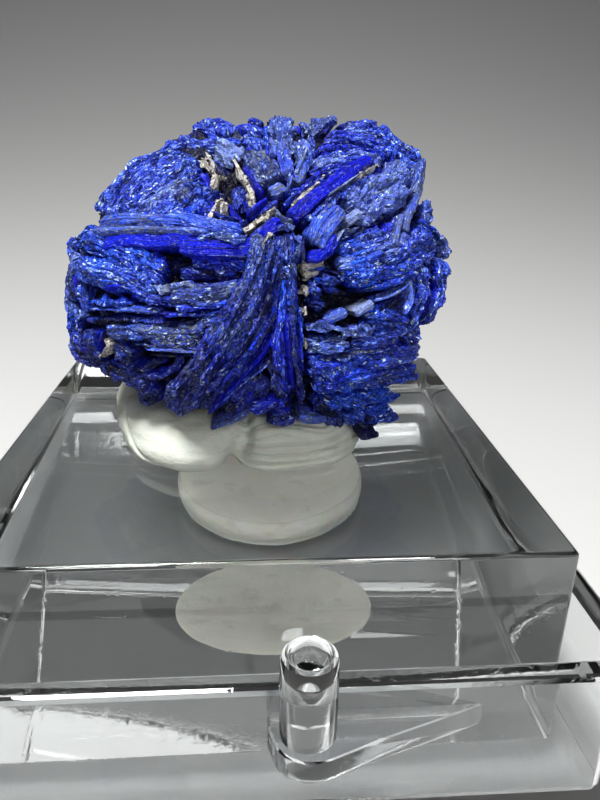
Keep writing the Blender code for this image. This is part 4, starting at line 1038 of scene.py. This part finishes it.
def putty():
    """Two lobes of putty: the edge line carried up over a bulged side, pinched where the lobes meet, with
    fine folds that sag round the right lobe, and a swirl and one crease on the left one."""
    edge = smooth_line(PUTTY_EDGE, np.arange(PUTTY_COLUMNS) / PUTTY_COLUMNS, closed=True)
    up = np.linspace(0, 1, PUTTY_ROWS)
    side = smooth_line(PUTTY_SIDE, up)
    spoke = edge - PUTTY_MIDDLE
    turn, level = np.broadcast_arrays(np.arctan2(spoke[:, 1], spoke[:, 0]), up[:, None])
    points = np.empty((*turn.shape, 3))
    points[..., :2] = PUTTY_MIDDLE + spoke * side[:, 0, None, None]
    points[..., 2] = BLOCK_TOP + side[:, 1, None] * PUTTY_HEIGHT
    swirl = rough(vectors(turn * 2.4, level * 3), 31, 2)
    right = ramp(turn, PINCH_AT - 0.02, PINCH_AT + 0.14) * (1 - ramp(turn, 0.2, 0.9))
    left = 1 - ramp(turn, PINCH_AT - 0.30, PINCH_AT - 0.04)
    sag = level + 0.16 * (turn - PINCH_AT - 0.75) ** 2
    waves = (sag * 7.5 + 0.35 * swirl) * math.pi
    folds = np.abs(np.sin(waves)) ** 0.6 - 0.6 + 0.4 * np.sin(waves * 0.37 + 1.0)
    fine = np.abs(np.sin(waves * 2.6 + swirl)) ** 0.7 - 0.6
    curl = np.sin((level * 3.4 - (turn - SWIRL_AT) * 1.5 + 0.5 * swirl) * math.pi)
    pinch = bump_over(turn, PINCH_AT + 0.22 * (level - 0.2), 0.075)
    crease = bump_over(level + (turn + 2.45) * 0.55, 0.34, 0.035) * bump_over(turn, SWIRL_AT, 0.55)
    soft = rough(points * 420, 9, 4)
    push = (0.00019 * folds + 0.00006 * fine) * right + 0.00006 * curl * left
    push = push - 0.00075 * pinch - 0.00028 * crease + 0.00009 * soft
    push *= 1 - ramp(level, 0.75, 1.0)
    points -= normals_of(points) * push[..., None]
    points[..., 2] = np.maximum(points[..., 2], BLOCK_TOP - TOUCH)
    points[..., 1] += BLOCK_MIDDLE[1]
    surface = Surface("kneaded_tack")
    surface.grid(points, closed=True, cap=True)
    white = putty_finish("white_tack", (0.52, 0.54, 0.48), (0.40, 0.41, 0.34), 0.6)
    place(surface.finish(white), "mineral_tack", "white_putty")


# The pad's side, as shares of its radius and its height.
PAD_SIDE = [
    (0.02, 0.0), (0.5, 0.0), (0.93, 0.0), (0.98, 0.12), (1.0, 0.5),
    (0.98, 0.88), (0.93, 1.0), (0.5, 1.0), (0.02, 1.0),
]


def pad():
    """Round pad pressed flat between the block and the floor: a circle with an uneven, bulged edge."""
    low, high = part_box("riser_tack")
    middle = (np.array(low) + np.array(high))[:2] / 2
    radius = (high[0] - low[0]) / 2
    turn = circle(240)
    uneven = 1 + 0.012 * np.sin(3 * turn + 1) + 0.010 * noise(vectors(turn * 5, 0), 3)
    floor, top = BOX_FLOOR - TOUCH, BLOCK_BASE + TOUCH
    section = smooth_line(PAD_SIDE, np.linspace(0, 1, 41))
    across = middle[0] + radius * section[:, None, 0] * np.cos(turn) * uneven
    back = middle[1] + radius * section[:, None, 0] * np.sin(turn) * uneven
    up = floor + (top - floor) * np.clip(section[:, None, 1], 0, 1)
    surface = Surface("pressed_tack_pad")
    surface.grid(vectors(across, back, up), closed=True, cap=True)
    aged = putty_finish("aged_tack", (0.92, 0.91, 0.83), (0.80, 0.78, 0.67), 0.5)
    place(surface.finish(aged, sharp=40), "riser_tack", "yellowed_putty")


def rounded_square(side, corner, steps=9):
    """Outline of a square with round corners, as one array of points."""
    quarter = np.linspace(0, math.pi / 2, steps)
    angle = np.concatenate([quarter + i * math.pi / 2 for i in range(4)])
    signs = np.repeat([(1, 1), (-1, 1), (-1, -1), (1, -1)], steps, axis=0)
    return signs * (side / 2 - corner) + corner * np.column_stack([np.cos(angle), np.sin(angle)])


def block(clear):
    """Square block with fine rounded edges: a rounded square carried up through its edge rounds."""
    angle = np.linspace(0, math.pi / 2, 5)
    inset = BLOCK_EDGE * (1 - np.sin(angle))
    rise = BLOCK_EDGE * (1 - np.cos(angle))
    levels = [*zip(inset, BLOCK_BASE + rise), *zip(inset[::-1], BLOCK_TOP - rise[::-1])]
    rings = [(rounded_square(BLOCK_SIDE - 2 * i, BLOCK_EDGE + 0.00005) + BLOCK_MIDDLE, z) for i, z in levels]
    place(stacked("clear_block", rings, clear, sharp=25), "acrylic_block", "clear_acrylic")


LEDGE_EDGE = [
    (0.0003, -0.0200), (0.0007, -0.0211), (0.0015, -0.0217), (0.0025, -0.0218), (0.0037, -0.0214),
    (0.0055, -0.0207), (0.0079, -0.0199), (0.0105, -0.0190),
]


def join(obj, other):
    """The other object added to this one as one solid."""
    union = obj.modifiers.new("join", "BOOLEAN")
    union.operation, union.solver, union.object = "UNION", "EXACT", other
    graph = bpy.context.evaluated_depsgraph_get()
    mesh = bpy.data.meshes.new_from_object(obj.evaluated_get(graph))
    obj.modifiers.clear()
    obj.data = mesh
    bpy.data.objects.remove(other)


def box_base(clear):
    """Thin-walled open box, its rim and foot rounded, with the turned latch post and its ledge joined on."""
    inner = BOX_OUTER - 2 * BOX_WALL
    levels = [  # sides and heights up the outer wall, over the rim and down the inner wall to the floor
        (BOX_OUTER - 0.0008, 0.0), (BOX_OUTER - 0.0002, 0.0001), (BOX_OUTER, 0.0004),
        (BOX_OUTER, BOX_HEIGHT - 0.0003), (BOX_OUTER - 0.0002, BOX_HEIGHT - 0.00008),
        (BOX_OUTER - 0.0005, BOX_HEIGHT), (inner + 0.0005, BOX_HEIGHT),
        (inner + 0.0002, BOX_HEIGHT - 0.00008), (inner, BOX_HEIGHT - 0.0003),
        (inner, BOX_FLOOR + 0.0005), (inner - 0.0003, BOX_FLOOR + 0.00015), (inner - 0.0010, BOX_FLOOR),
    ]
    rings = [(rounded_square(side, BOX_CORNER - (BOX_OUTER - side) * 0.22), z) for side, z in levels]
    obj = stacked("moulded_box_base", rings, clear)
    inside_wall = -BOX_OUTER / 2 + BOX_WALL / 2
    free = smooth_line(LEDGE_EDGE, np.linspace(0, 1, 40))
    plan = np.vstack([(free[0][0], inside_wall), free, (free[-1][0], inside_wall)])
    rings = []
    for shrink, share in [(0.965, 0.0), (0.99, 0.08), (1.0, 0.25), (1.0, 0.75), (0.99, 0.92), (0.965, 1.0)]:
        flat = LEDGE_MIDDLE + (plan - LEDGE_MIDDLE) * shrink
        flat[[0, -1], 1] = inside_wall
        rings.append((flat, LEDGE_TOP - LEDGE_THICKNESS * (1 - share)))
    join(obj, stacked("ledge", rings, clear))
    turned = [  # radii and heights up the post, over its rim and into its dimple
        (POST_RADIUS, LEDGE_TOP - LEDGE_THICKNESS / 2), (POST_RADIUS, LEDGE_TOP),
        (POST_RADIUS, POST_TOP - 0.0008), (POST_RADIUS * 0.985, POST_TOP - 0.0004),
        (POST_RADIUS * 0.93, POST_TOP - 0.00012), (POST_RADIUS * 0.83, POST_TOP),
        (DIMPLE_RADIUS * 1.06, POST_TOP - 0.00008), (DIMPLE_RADIUS, POST_TOP - 0.0003),
        (DIMPLE_RADIUS * 0.88, POST_TOP - DIMPLE_DEPTH * 0.8),
        (DIMPLE_RADIUS * 0.55, POST_TOP - DIMPLE_DEPTH),
    ]
    turn = circle(64)
    ring = vectors(np.cos(turn), np.sin(turn))
    join(obj, stacked("post", [(POST_AT + ring * radius, z) for radius, z in turned], clear))
    obj.data.shade_smooth()
    obj.data.set_sharp_from_angle(angle=math.radians(14))
    place(obj, "box_base", "clear_styrene")


# Stage, light and camera -------------------------


STAGE_REACH, STAGE_HALF, STAGE_TOP, STAGE_BEND = 0.8, 1.2, 1.4, 0.75


def stage():
    """Floor that curves up into a backdrop: a flat run, a quarter circle and a wall, carried across."""
    across = np.linspace(-STAGE_HALF, STAGE_HALF, 9)
    bend = np.linspace(0, math.pi / 2, 40)
    curve = vectors(STAGE_REACH - STAGE_BEND + STAGE_BEND * np.sin(bend), STAGE_BEND * (1 - np.cos(bend)))
    run = np.vstack([(-STAGE_REACH, 0.0), curve, (STAGE_REACH, STAGE_TOP)])
    points = np.empty((len(run), len(across), 3))
    points[..., 0] = across
    points[..., 1:] = run[:, None] - (0, FLOOR_GAP)
    surface = Surface("floor_and_backdrop")
    surface.grid(points[:, ::-1])
    surface.finish(floor_finish())


def soft_light(name, at, size, power):
    """A square lamp that faces the rosette."""
    light = bpy.data.lights.new(name, "AREA")
    light.shape, light.size, light.energy = "SQUARE", size, power
    back = unit(at - ROSETTE_AT)
    right = unit(np.cross((0, 0, 1.0), back))
    put(name, light, (right, np.cross(back, right), back), at)


def lights():
    world = bpy.data.worlds.new("studio")
    world.use_nodes = True
    background = world.node_tree.nodes["Background"]
    background.inputs["Color"].default_value = (0.90, 0.95, 1.0, 1.0)
    background.inputs["Strength"].default_value = 0.10
    bpy.context.scene.world = world
    soft_light("overhead", (0.0, 0.02, 0.42), 0.50, 0.52)
    soft_light("top_key", (-0.05, -0.06, 0.23), 0.06, 1.05)
    soft_light("front_fill", (0.05, -0.26, 0.14), 0.12, 0.38)


# Where the camera stands from the middle of the block's top, in block widths, and how it looks in degrees.
CAMERA_AT = np.array([-0.009, -1.353, 0.593])
CAMERA_LOOK = 4.43, 21.29, -1.06
LENS_MM, SENSOR_MM = 30.36, 36.0


def camera():
    data = bpy.data.cameras.new("camera")
    data.lens, data.sensor_width, data.clip_start = LENS_MM, SENSOR_MM, 0.001
    at = np.append(BLOCK_MIDDLE, BLOCK_TOP) + CAMERA_AT * BLOCK_SIDE
    bpy.context.scene.camera = put("camera", data, look_axes(*CAMERA_LOOK), at)


camera()
rosette()
putty()
pad()
block(clear_finish("clear_acrylic", (0.96, 0.975, 0.975), 1.49, 0.012, 0.10))
box_base(clear_finish("clear_styrene", (0.95, 0.965, 0.97), 1.56, 0.02, 0.14))
stage()
lights()
bpy.context.scene.view_settings.view_transform = "Standard"
